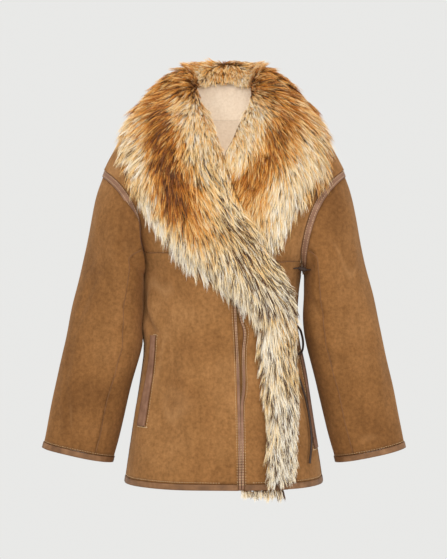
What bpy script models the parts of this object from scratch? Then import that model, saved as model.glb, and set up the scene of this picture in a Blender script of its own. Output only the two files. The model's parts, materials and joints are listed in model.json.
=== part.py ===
"""Shearling wrap coat with a long fur shawl collar, in the form it has when worn.

Metres, +Z up, +X towards the wearer's left side, the front faces -Y.  The origin lies on
the wearer's mid-line, level with the pit of the neck, between front and back.
Every cloth piece is a wall with a suede outer face and a clipped-wool inner face.
Angles round the body are in degrees: 0 at the wearer's left side, 90 in front,
180 at the wearer's right side and 270 at the back.
"""
import math
from collections import namedtuple

import bmesh
import bpy
from mathutils import Vector

# ---- driving dimensions ----
WALL = 0.005              # suede skin with its clipped wool
GAP = 0.0003              # between neighbouring pieces
SQUARENESS = 2.25         # 2 would make each body section an ellipse
LAP_LIFT = 0.0078         # how far the over front stands out where it laps the under front
LAP_START = -0.090        # the over front begins to stand out here, across the body
LAP_FULL = -0.030         # and is fully out from here on
LAP_TOP = (-0.010, -0.080)    # and its lift grows between these two heights
TRIM_PROUD = 0.0008       # leather bindings stand this far out of both faces of the cloth
NECK_HEIGHT = 0.016       # where the shoulder seam meets the neck
NAPE_DROP = 0.008         # the neckline is this much lower at the middle of the back
SHOULDER_TIP = -0.095     # top of the armhole
UNDERARM = -0.288         # bottom of the armhole
HEM = -0.685
BINDING = 0.011           # depth of the hem and cuff bindings
ARMHOLE_STRIP = 0.012     # width of the leather strip in the armhole seam
PIPE_WIDTH = 0.0048       # each of the two leather pipes down the over front
PIPE_PROUD = 0.0012       # how far they stand out of the suede
RIGHT_YOKE = -0.254       # height of the chest seam on the over front
LEFT_YOKE = -0.2705       # and on the under front
WELT_THICKNESS = 0.0024
SLEEVE_SEAM = 121.0       # degrees from the sleeve's outer edge to its front and back seams
TOP_SLEEVE_STEPS = 12
UNDERARM_TURN = 163.0     # a column of the sleeve close to the underarm
SHARED_EDGE = 0.65        # a shared armhole edge runs in no further than the wall over this
ROW_SPACE = 0.006         # no cross row lies closer than this to a chest seam
FUR_LIFT = 0.0025         # the fur's skin lies this far off the cloth

# ---- body: half widths and depths of the sections, top to bottom ----
Section = namedtuple("Section", "height right left front back")
BODY = [Section(*row) for row in (
    (0.016, 0.088, 0.088, 0.040, 0.058),
    (0.000, 0.138, 0.138, 0.054, 0.070),
    (-0.018, 0.176, 0.176, 0.066, 0.080),
    (-0.036, 0.197, 0.197, 0.079, 0.089),
    (-0.065, 0.213, 0.213, 0.096, 0.099),
    (-0.095, 0.229, 0.229, 0.109, 0.107),
    (-0.128, 0.227, 0.227, 0.121, 0.113),
    (-0.163, 0.212, 0.212, 0.131, 0.117),
    (-0.211, 0.186, 0.186, 0.140, 0.119),
    (-0.250, 0.164, 0.164, 0.142, 0.118),
    (-0.288, 0.148, 0.148, 0.141, 0.115),
    (-0.340, 0.146, 0.141, 0.136, 0.108),
    (-0.384, 0.146, 0.137, 0.133, 0.104),
    (-0.429, 0.150, 0.143, 0.133, 0.108),
    (-0.452, 0.153, 0.148, 0.134, 0.112),
    (-0.498, 0.159, 0.158, 0.138, 0.122),
    (-0.543, 0.167, 0.167, 0.143, 0.132),
    (-0.589, 0.174, 0.174, 0.148, 0.140),
    (-0.635, 0.181, 0.181, 0.153, 0.146),
    (-0.685, 0.188, 0.188, 0.157, 0.150),
)]

# ---- armhole: how far out its edge is, in front and behind, down the arm ----
Armhole = namedtuple("Armhole", "height front back")
ARMHOLE = [Armhole(*row) for row in (
    (-0.095, 0.2290, 0.2290),
    (-0.110, 0.2090, 0.2140),
    (-0.128, 0.1900, 0.2020),
    (-0.163, 0.1660, 0.1820),
    (-0.211, 0.1495, 0.1660),
    (-0.250, 0.1430, 0.1560),
    (-0.270, 0.1435, 0.1510),
    (-0.288, 0.1480, 0.1480),
)]

# ---- front edges: x of the cloth's edge, down each front ----
FrontEdge = namedtuple("FrontEdge", "height x")
OVER_EDGE = [FrontEdge(*row) for row in (
    (0.016, -0.066),
    (-0.035, -0.042),
    (-0.075, -0.020),
    (-0.127, 0.000),
    (-0.168, 0.014),
    (-0.233, 0.046),
    (-0.271, 0.074),
    (-0.310, 0.095),
    (-0.351, 0.104),
    (-0.400, 0.106),
    (-0.500, 0.108),
    (-0.685, 0.110),
)]
UNDER_EDGE = [FrontEdge(*row) for row in (
    (0.016, 0.066),
    (-0.035, 0.042),
    (-0.075, 0.020),
    (-0.110, 0.003),
    (-0.145, -0.007),
    (-0.200, -0.010),
    (-0.685, -0.010),
)]

# ---- the piped seam of the over front, with the slit that opens at its upper end ----
PipedSeam = namedtuple("PipedSeam", "height x slit")
PIPED_SEAM = [PipedSeam(*row) for row in (
    (-0.254, 0.0130, 0.0003),
    (-0.340, 0.0165, 0.0003),
    (-0.374, 0.0180, 0.0040),
    (-0.395, 0.0190, 0.0120),
    (-0.410, 0.0198, 0.0100),
    (-0.430, 0.0205, 0.0066),
    (-0.458, 0.0213, 0.0054),
    (-0.492, 0.0223, 0.0056),
    (-0.512, 0.0228, 0.0040),
    (-0.527, 0.0232, 0.0003),
    (-0.600, 0.0248, 0.0003),
    (-0.685, 0.0262, 0.0003),
)]

# ---- heights of the cross rows of the cloth pieces ----
SHOULDER_ROWS = (0.016, 0.004, -0.010, -0.024, -0.040, -0.060, -0.078)
OVER_ROWS = (-0.330, -0.374, -0.395, -0.412, -0.435, -0.460, -0.492, -0.512, -0.527,
             -0.560, -0.600, -0.640, HEM + BINDING)
PLAIN_ROWS = (-0.330, -0.374, -0.412, -0.460, -0.512, -0.560, -0.600, -0.640, HEM + BINDING)
OVER_UPPER_COLUMNS, OVER_MAIN_COLUMNS, BAND_COLUMNS, PIPE_COLUMNS = 11, 8, 4, 2
UNDER_COLUMNS = 9
BACK_COLUMNS = 16
BINDING_ROWS = (HEM + BINDING - GAP, HEM)

# ---- sleeves, given for the left one: outer and inner edge and front and back of each ring ----
Ring = namedtuple("Ring", "outer_x outer_z inner_x inner_y inner_z front back")
SLEEVE = [Ring(*row) for row in (
    (0.240, -0.133, 0.1505, -0.020, -0.300, -0.088, 0.062),
    (0.250, -0.175, 0.1495, -0.030, -0.315, -0.087, 0.064),
    (0.259, -0.218, 0.1485, -0.036, -0.333, -0.084, 0.065),
    (0.269, -0.262, 0.1475, -0.038, -0.353, -0.081, 0.064),
    (0.280, -0.310, 0.1480, -0.036, -0.380, -0.078, 0.062),
    (0.291, -0.358, 0.1515, -0.030, -0.412, -0.076, 0.060),
    (0.302, -0.412, 0.1580, -0.024, -0.446, -0.074, 0.057),
    (0.314, -0.468, 0.1710, -0.018, -0.493, -0.072, 0.054),
    (0.325, -0.521, 0.1850, -0.014, -0.548, -0.070, 0.051),
    (0.334, -0.566, 0.1960, -0.011, -0.594, -0.068, 0.049),
    (0.342, -0.6085, 0.2070, -0.010, -0.637, -0.067, 0.048),
    (0.3446, -0.6195, 0.2095, -0.010, -0.648, -0.067, 0.048),
)]
CUFF_RINGS = (len(SLEEVE) - 1, len(SLEEVE))    # the binding runs between these two rings

# ---- collar ----
Stand = namedtuple("Stand", "side_x side_z back_y back_z")
STAND = [Stand(*row) for row in (              # rings of the stand above the neckline
    (0.071, 0.040, 0.060, 0.042),
    (0.058, 0.062, 0.055, 0.076),
)]
Crest = namedtuple("Crest", "side_x side_z back_y back_z")
CREST = [Crest(*row) for row in (              # the fur's outer face, neck to outer edge
    (0.050, 0.065, 0.046, 0.084),
    (0.060, 0.092, 0.056, 0.112),
    (0.084, 0.112, 0.080, 0.126),
    (0.119, 0.093, 0.112, 0.107),
    (0.145, 0.056, 0.137, 0.058),
    (0.170, 0.027, 0.151, 0.000),
    (0.193, 0.000, 0.154, -0.052),
    (0.206, -0.030, 0.144, -0.094),
)]
FALL_SIDE = -0.036        # height of the fur's outer edge on the shoulder
FALL_BACK = -0.108        # and at the middle of the back
COLLAR_STEPS = 14         # stations of the fur from shoulder to shoulder
FALL_STEPS = 4            # rows of the fur's skin on the cloth
STATIONS_PER_ROW = 3      # cross-sections of a front's fur for each row of its table
SHOULDER_BLEND = 2.5      # rows from the shoulder seam over which a front's fur leaves the crest
STAND_LEAN = 0.25         # upward part of the stand's face direction

# ---- fur of the fronts: free inner edge, end of the skin under it, outer edge, fullness ----
LAPEL_BULGE = (0.30, 0.72, 0.94, 1.0, 0.97, 0.80, 0.45)    # share of full, outer edge to inner
Lapel = namedtuple("Lapel", "inner_x inner_y inner_z skin_x outer_x outer_z full")
OVER_LAPEL = [Lapel(*row) for row in (
    (-0.050, 0.000, 0.065, -0.088, -0.199, -0.036, 0.044),
    (-0.045, -0.034, 0.030, -0.073, -0.196, -0.086, 0.043),
    (-0.028, -0.068, -0.006, -0.052, -0.186, -0.122, 0.041),
    (-0.014, -0.098, -0.042, -0.034, -0.172, -0.158, 0.038),
    (0.000, -0.130, -0.084, -0.014, -0.138, -0.204, 0.036),
    (0.017, -0.146, -0.130, 0.005, -0.095, -0.262, 0.035),
    (0.032, -0.155, -0.172, 0.019, -0.060, -0.292, 0.034),
    (0.060, -0.157, -0.228, 0.045, -0.028, -0.318, 0.033),
    (0.092, -0.144, -0.272, 0.077, 0.012, -0.352, 0.032),
    (0.116, -0.122, -0.312, 0.098, 0.034, -0.388, 0.031),
    (0.126, -0.107, -0.346, 0.106, 0.046, -0.405, 0.030),
)]
FRONT_FUR = [Lapel(*row) for row in (
    (0.126, -0.107, -0.347, 0.106, 0.046, -0.406, 0.030),
    (0.128, -0.101, -0.395, 0.108, 0.050, -0.432, 0.030),
    (0.128, -0.107, -0.445, 0.109, 0.056, -0.470, 0.030),
    (0.128, -0.118, -0.500, 0.110, 0.059, -0.516, 0.030),
    (0.128, -0.130, -0.560, 0.111, 0.064, -0.572, 0.029),
    (0.128, -0.140, -0.622, 0.111, 0.070, -0.632, 0.028),
    (0.128, -0.143, -0.660, 0.112, 0.075, -0.676, 0.026),
    (0.125, -0.144, -0.676, 0.110, 0.079, -0.692, 0.020),
)]
TUFT_TAPER = 0.7          # the hem tuft narrows to its tip from this share of its length
HemTuft = namedtuple("HemTuft", "x length thickness")
HEM_TUFT = [HemTuft(*row) for row in (         # fur that hangs out below the band's hem
    (0.030, 0.006, 0.005),
    (0.042, 0.010, 0.008),
    (0.058, 0.012, 0.009),
    (0.074, 0.010, 0.008),
)]
UNDER_LAPEL = [Lapel(*row) for row in (
    (0.050, 0.000, 0.065, 0.088, 0.199, -0.036, 0.044),
    (0.049, -0.034, 0.034, 0.074, 0.197, -0.078, 0.043),
    (0.035, -0.064, 0.000, 0.056, 0.194, -0.106, 0.040),
    (0.020, -0.092, -0.034, 0.038, 0.186, -0.130, 0.036),
    (0.012, -0.124, -0.084, 0.018, 0.160, -0.146, 0.033),
    (0.029, -0.138, -0.132, 0.031, 0.138, -0.184, 0.029),
    (0.045, -0.146, -0.174, 0.046, 0.124, -0.212, 0.026),
    (0.072, -0.146, -0.226, 0.072, 0.102, -0.240, 0.020),
)]

# ---- pocket welts: where each one lies round the body, top to bottom ----
Welt = namedtuple("Welt", "height centre width")
RIGHT_WELT = (Welt(-0.407, 150.5, 0.015), Welt(-0.490, 150.0, 0.019), Welt(-0.574, 149.0, 0.023))
LEFT_WELT = (Welt(-0.440, 13.0, 0.016), Welt(-0.530, 14.5, 0.019), Welt(-0.618, 16.5, 0.022))
WELT_STEPS = 6
WELT_CLEAR = 0.0007       # the welt's leather lies this far off the cloth
WELT_RADIUS = 0.150       # of the body there, for the welt's width round it

# ---- tie: a leather thong from the over front's edge, round a loop, to its free end ----
TIE_DIAMETER = 0.0046
TIE_STEP = 0.009
TIE_ROUTE = [Vector(point) for point in (
    (0.1100, -0.0957, -0.384),
    (0.1180, -0.0860, -0.3845),
    (0.1297, -0.0660, -0.386),
    (0.1415, -0.0400, -0.395),
    (0.1472, -0.0290, -0.410),
    (0.1490, -0.0280, -0.426),
    (0.1455, -0.0450, -0.438),
    (0.1343, -0.0725, -0.444),
    (0.1280, -0.0846, -0.451),
    (0.1310, -0.0850, -0.465),
    (0.1407, -0.0775, -0.489),
    (0.1525, -0.0704, -0.527),
    (0.1595, -0.0702, -0.565),
    (0.1625, -0.0763, -0.603),
    (0.1582, -0.0930, -0.642),
)]

# ---- colours: base colour, roughness ----
SUEDE = ((0.30, 0.165, 0.070), 0.95)
LEATHER = ((0.20, 0.115, 0.065), 0.55)
THONG = ((0.06, 0.035, 0.022), 0.60)
WOOL = ((0.80, 0.70, 0.56), 0.95)
FUR = ((0.62, 0.36, 0.14), 0.85)
GREY_FUR = ((0.50, 0.42, 0.33), 0.85)


def smooth_row(rows, value):
    """The row at any value of the table's first column, on a smooth curve through its rows."""
    last = len(rows) - 1
    falling = rows[last][0] < rows[0][0]
    at = 0
    while at < last - 1 and (value < rows[at + 1][0]) == falling and value != rows[at + 1][0]:
        at += 1
    before, start = rows[max(at - 1, 0)], rows[at]
    end, after = rows[at + 1], rows[min(at + 2, last)]
    span = end[0] - start[0]
    t = (value - start[0]) / span
    result = []
    for column in range(len(start)):
        slope_start = (end[column] - before[column]) / (end[0] - before[0]) * span
        slope_end = (after[column] - start[column]) / (after[0] - start[0]) * span
        result.append((2 * t**3 - 3 * t**2 + 1) * start[column] + (t**3 - 2 * t**2 + t) * slope_start
                      + (3 * t**2 - 2 * t**3) * end[column] + (t**3 - t**2) * slope_end)
    return type(start)(*result)


def smooth_between(rows, place):
    """The row at a place counted in rows, such as 2.5, on a smooth curve through the rows."""
    numbered = [(float(index),) + tuple(row) for index, row in enumerate(rows)]
    Numbered = namedtuple("Numbered", ["place"] + ["c%d" % i for i in range(len(rows[0]))])
    row = smooth_row([Numbered(*entry) for entry in numbered], place)
    return type(rows[0])(*row[1:])


def ease(value, start, end):
    """0 before start, 1 after end, with a soft change between."""
    t = min(max((value - start) / (end - start), 0.0), 1.0)
    return t * t * (3 - 2 * t)


def signed_power(value, power):
    return math.copysign(abs(value) ** power, value)


# ---- the body's outer face ----

def body_point(angle, height):
    """Outer face of the body at an angle round it."""
    row = smooth_row(BODY, height)
    across = math.cos(math.radians(angle))
    forward = math.sin(math.radians(angle))
    half_width = row.left if across > 0 else row.right
    depth = row.front if forward > 0 else row.back
    return Vector((half_width * signed_power(across, 2 / SQUARENESS),
                   -depth * signed_power(forward, 2 / SQUARENESS), height))


def body_normal(angle, height):
    """Outward direction of the body's face."""
    step_angle, step_height = 1.0, 0.003
    upper = min(height + step_height, NECK_HEIGHT)
    across = body_point(angle + step_angle, height) - body_point(angle - step_angle, height)
    upward = body_point(angle, upper) - body_point(angle, upper - 2 * step_height)
    return upward.cross(across).normalized()


def angle_at(x, height, behind=False):
    """Angle round the body where its face is at a given x."""
    row = smooth_row(BODY, height)
    half_width = row.left if x > 0 else row.right
    share = min(abs(x) / half_width, 1.0) ** (SQUARENESS / 2)
    angle = math.degrees(math.acos(math.copysign(share, x)))
    return 360 - angle if behind else angle


def seam_step(height):
    """Degrees from the side line that leave half a gap there."""
    row = smooth_row(BODY, height)
    return math.degrees(math.asin((GAP / 2 / row.front) ** (SQUARENESS / 2)))


def lap_lift(x, height):
    """How far the over front stands out of the body's face."""
    return LAP_LIFT * ease(x, LAP_START, LAP_FULL) * ease(-height, -LAP_TOP[0], -LAP_TOP[1])


# ---- armholes and sleeves, worked out for the left side and mirrored to the right ----

def armhole_height(turn):
    middle = (SHOULDER_TIP + UNDERARM) / 2
    return middle + (SHOULDER_TIP - UNDERARM) / 2 * math.cos(math.radians(turn))


def armhole_angle(height, behind):
    """Angle round the body of the left armhole's edge, and 0 above and below the armhole."""
    if height >= SHOULDER_TIP or height <= UNDERARM:
        return 360.0 if behind else 0.0
    row = smooth_row(ARMHOLE, height)
    return angle_at(row.back if behind else row.front, height, behind)


def armhole_point(turn):
    """Armhole edge; turn is 0 at the shoulder, 90 in front, 180 at the underarm, 270 behind."""
    height = armhole_height(turn)
    behind = turn % 360 > 180
    return body_point(armhole_angle(height, behind), height)


def ring_point(row, turn):
    """A point on a sleeve ring."""
    outer = Vector((row.outer_x, 0, row.outer_z))
    inner = Vector((row.inner_x, row.inner_y, row.inner_z))
    middle_y = (row.front + row.back) / 2
    half_depth = (row.back - row.front) / 2
    outer.y = 2 * middle_y - row.inner_y
    point = (outer + inner) / 2 + (outer - inner) / 2 * math.cos(math.radians(turn))
    point.y -= half_depth * math.sin(math.radians(turn))
    return point


def sleeve_point(place, turn):
    """Outer face of the left sleeve; place counts rings from the armhole, which is 0."""
    armhole = armhole_point(turn)
    track = [tuple(armhole)] + [tuple(ring_point(row, turn)) for row in SLEEVE]
    Place = namedtuple("Place", "x y z")
    if place < 1:
        return armhole.lerp(Vector(track[1]), place)
    return Vector(smooth_between([Place(*point) for point in track], place))


def sleeve_normal(place, turn):
    step = 0.05
    place = min(max(place, step), len(SLEEVE) - step)
    along = sleeve_point(place + step, turn) - sleeve_point(place - step, turn)
    around = sleeve_point(place, turn + 1) - sleeve_point(place, turn - 1)
    return around.cross(along).normalized()


def armhole_normal(turn):
    """Direction of the edge faces that body, strip and sleeve share at the armhole."""
    height = armhole_height(turn)
    behind = turn % 360 > 180
    body = body_normal(armhole_angle(height, behind), height)
    shared = body + sleeve_normal(0.1, turn)
    return shared.normalized()


def armhole_side(turn):
    """Direction across the armhole seam, from the body to the sleeve."""
    along = armhole_point(turn + 1) - armhole_point(turn - 1)
    side = along.cross(armhole_normal(turn)).normalized()
    to_sleeve = sleeve_point(1, turn) - armhole_point(turn)
    return side if side.dot(to_sleeve) > 0 else -side


def strip_place(turn, width):
    """How far down the sleeve, in rings, a width from the armhole lies."""
    return width / (sleeve_point(1, turn) - armhole_point(turn)).length


# ---- making solids ----

def material(name, look):
    """A plain material of one colour."""
    existing = bpy.data.materials.get(name)
    if existing:
        return existing
    made = bpy.data.materials.new(name)
    made.use_nodes = True
    shader = made.node_tree.nodes["Principled BSDF"]
    shader.inputs["Base Color"].default_value = (*look[0], 1.0)
    shader.inputs["Roughness"].default_value = look[1]
    return made


def add_object(name, mesh, look_name, look):
    mesh.materials.append(material(look_name, look))
    made = bpy.data.objects.new(name, mesh)
    coat.objects.link(made)
    mesh.shade_smooth()
    mesh.set_sharp_from_angle(angle=math.radians(40))
    return made


def add_end(work, loop):
    """Close a flat-lying ring with a strip of faces between its two sides."""
    low, high = 0, len(loop) - 1
    while high - low >= 3:
        work.faces.new((loop[low], loop[low + 1], loop[high - 1], loop[high]))
        low, high = low + 1, high - 1
    if high - low == 2:
        work.faces.new((loop[low], loop[low + 1], loop[high]))


def loft(name, rings, look_name, look, closed_path=False):
    """A solid through closed rings of points, with flat ends unless its path is closed."""
    work = bmesh.new()
    loops = [[work.verts.new(point) for point in ring] for ring in rings]
    count = len(rings[0])
    pairs = list(zip(loops, loops[1:]))
    if closed_path:
        pairs.append((loops[-1], loops[0]))
    for first, second in pairs:
        for i in range(count):
            j = (i + 1) % count
            work.faces.new((first[i], first[j], second[j], second[i]))
    if not closed_path:
        add_end(work, loops[0])
        add_end(work, loops[-1])
    # the shorter diagonal splits facing seam edges the same way, so they stay apart
    bmesh.ops.triangulate(work, faces=work.faces, quad_method="SHORT_EDGE")
    bmesh.ops.recalc_face_normals(work, faces=work.faces)
    mesh = bpy.data.meshes.new(name)
    work.to_mesh(mesh)
    work.free()
    return add_object(name, mesh, look_name, look)


def cloth(name, rows, look_name, look, mirrored=False, round_again=False):
    """A wall from rows of (outer point, inner point) pairs; round_again joins the row ends."""
    side = -1 if mirrored else 1
    rings = []
    for column in range(len(rows[0])):
        outer = [rows[row][column][0] for row in range(len(rows))]
        inner = [rows[row][column][1] for row in reversed(range(len(rows)))]
        rings.append([Vector((point.x * side, point.y, point.z)) for point in outer + inner])
    return loft(name, rings, look_name, look, closed_path=round_again)


def wall(point, normal, thickness=WALL, proud=0.0):
    """Outer and inner point of a wall."""
    return point + normal * proud, point - normal * (thickness + proud)


def panel_rows(heights, start_angle, end_angle, columns, lift, starts_at_side=True, behind=False,
               proud=0.0):
    """Rows of a body panel between two edges, each an angle that depends on the height.

    Its top and bottom rows have level edge faces, so that pieces meet squarely at a seam."""
    rows = []
    for height in heights:
        first, last = start_angle(height), end_angle(height)
        row = []
        for column in range(columns + 1):
            angle = first + (last - first) * column / columns
            normal = body_normal(angle, height)
            point = body_point(angle, height)
            point += normal * lift(point.x, height)
            beside_arm = column == 0 or (behind and column == columns)
            if beside_arm and starts_at_side and UNDERARM <= height <= SHOULDER_TIP:
                shared = armhole_normal(armhole_turn(height, behind))
                if point.x < 0:
                    shared.x = -shared.x
                reach = 1 / max(abs(shared.dot(normal)), SHARED_EDGE)
                row.append((point + shared * proud, point - shared * (WALL + proud) * reach))
            else:
                if height < SHOULDER_TIP and height in (heights[0], heights[-1]):
                    normal = Vector((normal.x, normal.y, 0)).normalized()
                row.append(wall(point, normal, proud=proud))
        rows.append(row)
    return rows


def armhole_turn(height, behind=False):
    middle = (SHOULDER_TIP + UNDERARM) / 2
    share = (height - middle) / ((SHOULDER_TIP - UNDERARM) / 2)
    turn = math.degrees(math.acos(min(max(share, -1.0), 1.0)))
    return 360 - turn if behind else turn


def no_lift(x, height):
    return 0.0


def side_edge(right, behind):
    """Angle of the body's side line or armhole edge, half a gap from the seam."""
    def edge(height):
        angle = armhole_angle(height, behind)
        on_seam = angle in (0.0, 360.0)
        if on_seam:
            angle += -seam_step(height) if behind else seam_step(height)
        if not right:
            return angle
        return 540 - angle if behind else 180 - angle
    return edge


def x_edge(x_of, shift=0.0):
    """Angle of an edge given by its x, moved across by a shift."""
    def edge(height):
        return angle_at(x_of(height) + shift, height)
    return edge


def under_sleeve_turns():
    """Columns of the under sleeve, with one where each chest seam meets the armhole."""
    front = [SLEEVE_SEAM, armhole_turn(RIGHT_YOKE), armhole_turn(LEFT_YOKE), UNDERARM_TURN]
    return front + [180.0] + [360 - turn for turn in reversed(front)]


def armhole_heights():
    """Heights of the body's rows along the armhole, the same as the sleeve's columns."""
    turns = [SLEEVE_SEAM * i / (TOP_SLEEVE_STEPS / 2) for i in range(TOP_SLEEVE_STEPS // 2 + 1)]
    turns += under_sleeve_turns()[1:5]
    return [armhole_height(turn) for turn in turns]


def split_rows(rows, cut):
    """Rows above and below a level seam, with half a gap on each side of it."""
    above = [height for height in rows if height > cut + ROW_SPACE]
    below = [height for height in rows if height < cut - ROW_SPACE]
    return above + [cut + GAP / 2], [cut - GAP / 2] + below


def make_fronts():
    upper_rows = list(SHOULDER_ROWS) + armhole_heights()
    over_above, over_below = split_rows(upper_rows + list(OVER_ROWS), RIGHT_YOKE)
    under_above, under_below = split_rows(upper_rows + list(PLAIN_ROWS), LEFT_YOKE)
    right_side = side_edge(True, False)
    left_side = side_edge(False, False)
    over_edge = x_edge(lambda height: smooth_row(OVER_EDGE, height).x)
    under_edge = x_edge(lambda height: smooth_row(UNDER_EDGE, height).x)
    cloth("front_right_upper",
          panel_rows(over_above, right_side, over_edge, OVER_UPPER_COLUMNS, lap_lift),
          "suede", SUEDE)
    cloth("front_left_upper",
          panel_rows(under_above, left_side, under_edge, UNDER_COLUMNS, no_lift), "suede", SUEDE)
    cloth("front_left_lower",
          panel_rows(under_below, left_side, under_edge, UNDER_COLUMNS, no_lift), "suede", SUEDE)
    cloth("hem_binding_left",
          panel_rows(BINDING_ROWS, left_side, under_edge, UNDER_COLUMNS, no_lift, proud=TRIM_PROUD),
          "trim_leather", LEATHER)

    def seam_x(height):
        return smooth_row(PIPED_SEAM, height).x

    def inner_pipe_x(height):
        seam = smooth_row(PIPED_SEAM, height)
        return seam.x + max(seam.slit, GAP) + PIPE_WIDTH

    main_edge = x_edge(seam_x, -GAP)
    outer_pipe = (x_edge(seam_x), x_edge(seam_x, PIPE_WIDTH))
    inner_pipe = (x_edge(inner_pipe_x), x_edge(inner_pipe_x, PIPE_WIDTH))
    band_edge = x_edge(inner_pipe_x, PIPE_WIDTH + GAP)
    cloth("front_right_lower",
          panel_rows(over_below, right_side, main_edge, OVER_MAIN_COLUMNS, lap_lift),
          "suede", SUEDE)
    cloth("front_band",
          panel_rows(over_below, band_edge, over_edge, BAND_COLUMNS, lap_lift, False),
          "suede", SUEDE)
    pipe_rows = over_below[:-1] + [HEM]
    for name, edges in (("piping_outer", outer_pipe), ("piping_inner", inner_pipe)):
        cloth(name, panel_rows(pipe_rows, edges[0], edges[1], PIPE_COLUMNS, lap_lift, False,
                               proud=PIPE_PROUD), "trim_leather", LEATHER)
    cloth("hem_binding_right",
          panel_rows(BINDING_ROWS, right_side, main_edge, OVER_MAIN_COLUMNS, lap_lift,
                     proud=TRIM_PROUD), "trim_leather", LEATHER)
    cloth("hem_binding_band",
          panel_rows(BINDING_ROWS, band_edge, over_edge, BAND_COLUMNS, lap_lift, False,
                     proud=TRIM_PROUD), "trim_leather", LEATHER)


def neckline_height(angle):
    """Height of the back's top edge, lower at the nape."""
    return NECK_HEIGHT - NAPE_DROP * math.sin(math.radians(angle)) ** 2


def make_back():
    """One piece from side to side; above the armholes its rows end at the shoulder seams."""
    heights = list(SHOULDER_ROWS[1:]) + armhole_heights() + list(PLAIN_ROWS)
    first, last = side_edge(True, True), side_edge(False, True)
    steps = BACK_COLUMNS
    rows = panel_rows(heights, first, last, steps, no_lift, behind=True)
    top = []
    for column in range(steps + 1):
        start, end = first(NECK_HEIGHT), last(NECK_HEIGHT)
        angle = start + (end - start) * column / steps
        height = neckline_height(angle)
        top.append(wall(body_point(angle, height), body_normal(angle, height)))
    cloth("back", [top] + rows, "suede", SUEDE)
    cloth("hem_binding_back",
          panel_rows(BINDING_ROWS, first, last, steps, no_lift, behind=True,
                     proud=TRIM_PROUD), "trim_leather", LEATHER)


def make_sleeve(mirrored):
    """Leather armhole strip, top sleeve, under sleeve and cuff binding of one arm."""
    side = "right" if mirrored else "left"
    top_turns = [-SLEEVE_SEAM + 2 * SLEEVE_SEAM * i / TOP_SLEEVE_STEPS
                 for i in range(TOP_SLEEVE_STEPS + 1)]
    under_turns = under_sleeve_turns()

    def rows(places, turns, proud=0.0, trim_ends=True):
        result = []
        for place in places:
            row = []
            for index, turn in enumerate(turns):
                at = place(turn) if callable(place) else place
                normal = sleeve_normal(at, turn)
                point = sleeve_point(at, turn)
                if trim_ends and index in (0, len(turns) - 1):
                    inward = sleeve_point(at, turns[1 if index == 0 else -2]) - point
                    point += inward.normalized() * GAP / 2
                row.append(wall(point, normal, proud=proud))
            result.append(row)
        return result

    def start(turn):
        return strip_place(turn, ARMHOLE_STRIP + GAP)

    places = [start] + list(range(1, CUFF_RINGS[0] + 1))
    cloth("top_sleeve_" + side, rows(places, top_turns), "suede", SUEDE, mirrored)
    cloth("under_sleeve_" + side, rows(places, under_turns), "suede", SUEDE, mirrored)

    all_turns = top_turns + under_turns[1:-1]
    cuff = rows((CUFF_RINGS[0] + GAP / BINDING, CUFF_RINGS[1]), all_turns, TRIM_PROUD, False)
    cloth("cuff_binding_" + side, cuff, "trim_leather", LEATHER, mirrored, round_again=True)

    at_body = []
    at_sleeve = []
    for turn in all_turns:
        height = armhole_height(turn)
        behind = turn % 360 > 180
        shared = armhole_normal(turn)
        body = body_normal(armhole_angle(height, behind), height)
        reach = 1 / max(abs(shared.dot(body)), SHARED_EDGE)
        point = armhole_point(turn) + armhole_side(turn) * GAP
        at_body.append((point + shared * TRIM_PROUD, point - shared * (WALL + TRIM_PROUD) * reach))
        place = strip_place(turn, ARMHOLE_STRIP)
        at_sleeve.append(wall(sleeve_point(place, turn), sleeve_normal(place, turn),
                              proud=TRIM_PROUD))
    cloth("armhole_strip_" + side, [at_body, at_sleeve], "trim_leather", LEATHER, mirrored,
          round_again=True)


def make_stand():
    """Collar stand: the shearling band that rises from the back neckline, wool side in."""
    steps = BACK_COLUMNS
    rows = []
    base = []
    for column in range(steps + 1):
        angle = 180 + 180 * column / steps
        height = neckline_height(angle)
        point = body_point(angle, height)
        upward = (point - body_point(angle, height - 0.004)).normalized()
        base.append(wall(point + upward * GAP, body_normal(angle, height)))
    for ring in reversed(STAND):
        row = []
        for column in range(steps + 1):
            turn = math.radians(180 + 180 * column / steps)
            point = Vector((ring.side_x * math.cos(turn), -ring.back_y * math.sin(turn), 0))
            point.z = ring.side_z + (ring.back_z - ring.side_z) * math.sin(turn) ** 2
            normal = Vector((math.cos(turn), -math.sin(turn), STAND_LEAN)).normalized()
            row.append(wall(point, normal))
        rows.append(row)
    cloth("collar_stand", rows + [base], "wool", WOOL)


def make_collar_fur():
    """Fur of the back neck and shoulders, from one shoulder seam to the other."""
    rings = []
    for station in range(COLLAR_STEPS + 1):
        angle = 180 + 180 * station / COLLAR_STEPS
        back = math.sin(math.radians(angle)) ** 2
        fall = FALL_SIDE + (FALL_BACK - FALL_SIDE) * back
        top = neckline_height(angle)
        ring = []
        for step in range(FALL_STEPS + 1):
            height = fall + (top - fall) * step / FALL_STEPS
            point = body_point(angle, height)
            ring.append(point + body_normal(angle, height) * FUR_LIFT)
        turn = math.radians(angle)
        outward = Vector((math.cos(turn), -math.sin(turn), 0))
        for row in STAND:
            point = Vector((row.side_x * math.cos(turn), -row.back_y * math.sin(turn), 0))
            point.z = row.side_z + (row.back_z - row.side_z) * back
            ring.append(point + outward * FUR_LIFT)
        ring[-1].z += FUR_LIFT
        for row in CREST:
            point = Vector((row.side_x * math.cos(turn), -row.back_y * math.sin(turn), 0))
            point.z = row.side_z + (row.back_z - row.side_z) * back
            ring.append(point)
        if station in (0, COLLAR_STEPS):
            for point in ring:
                point.y = GAP / 2
        rings.append(ring)
    loft("fur_collar_back", rings, "fur", FUR)


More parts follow.
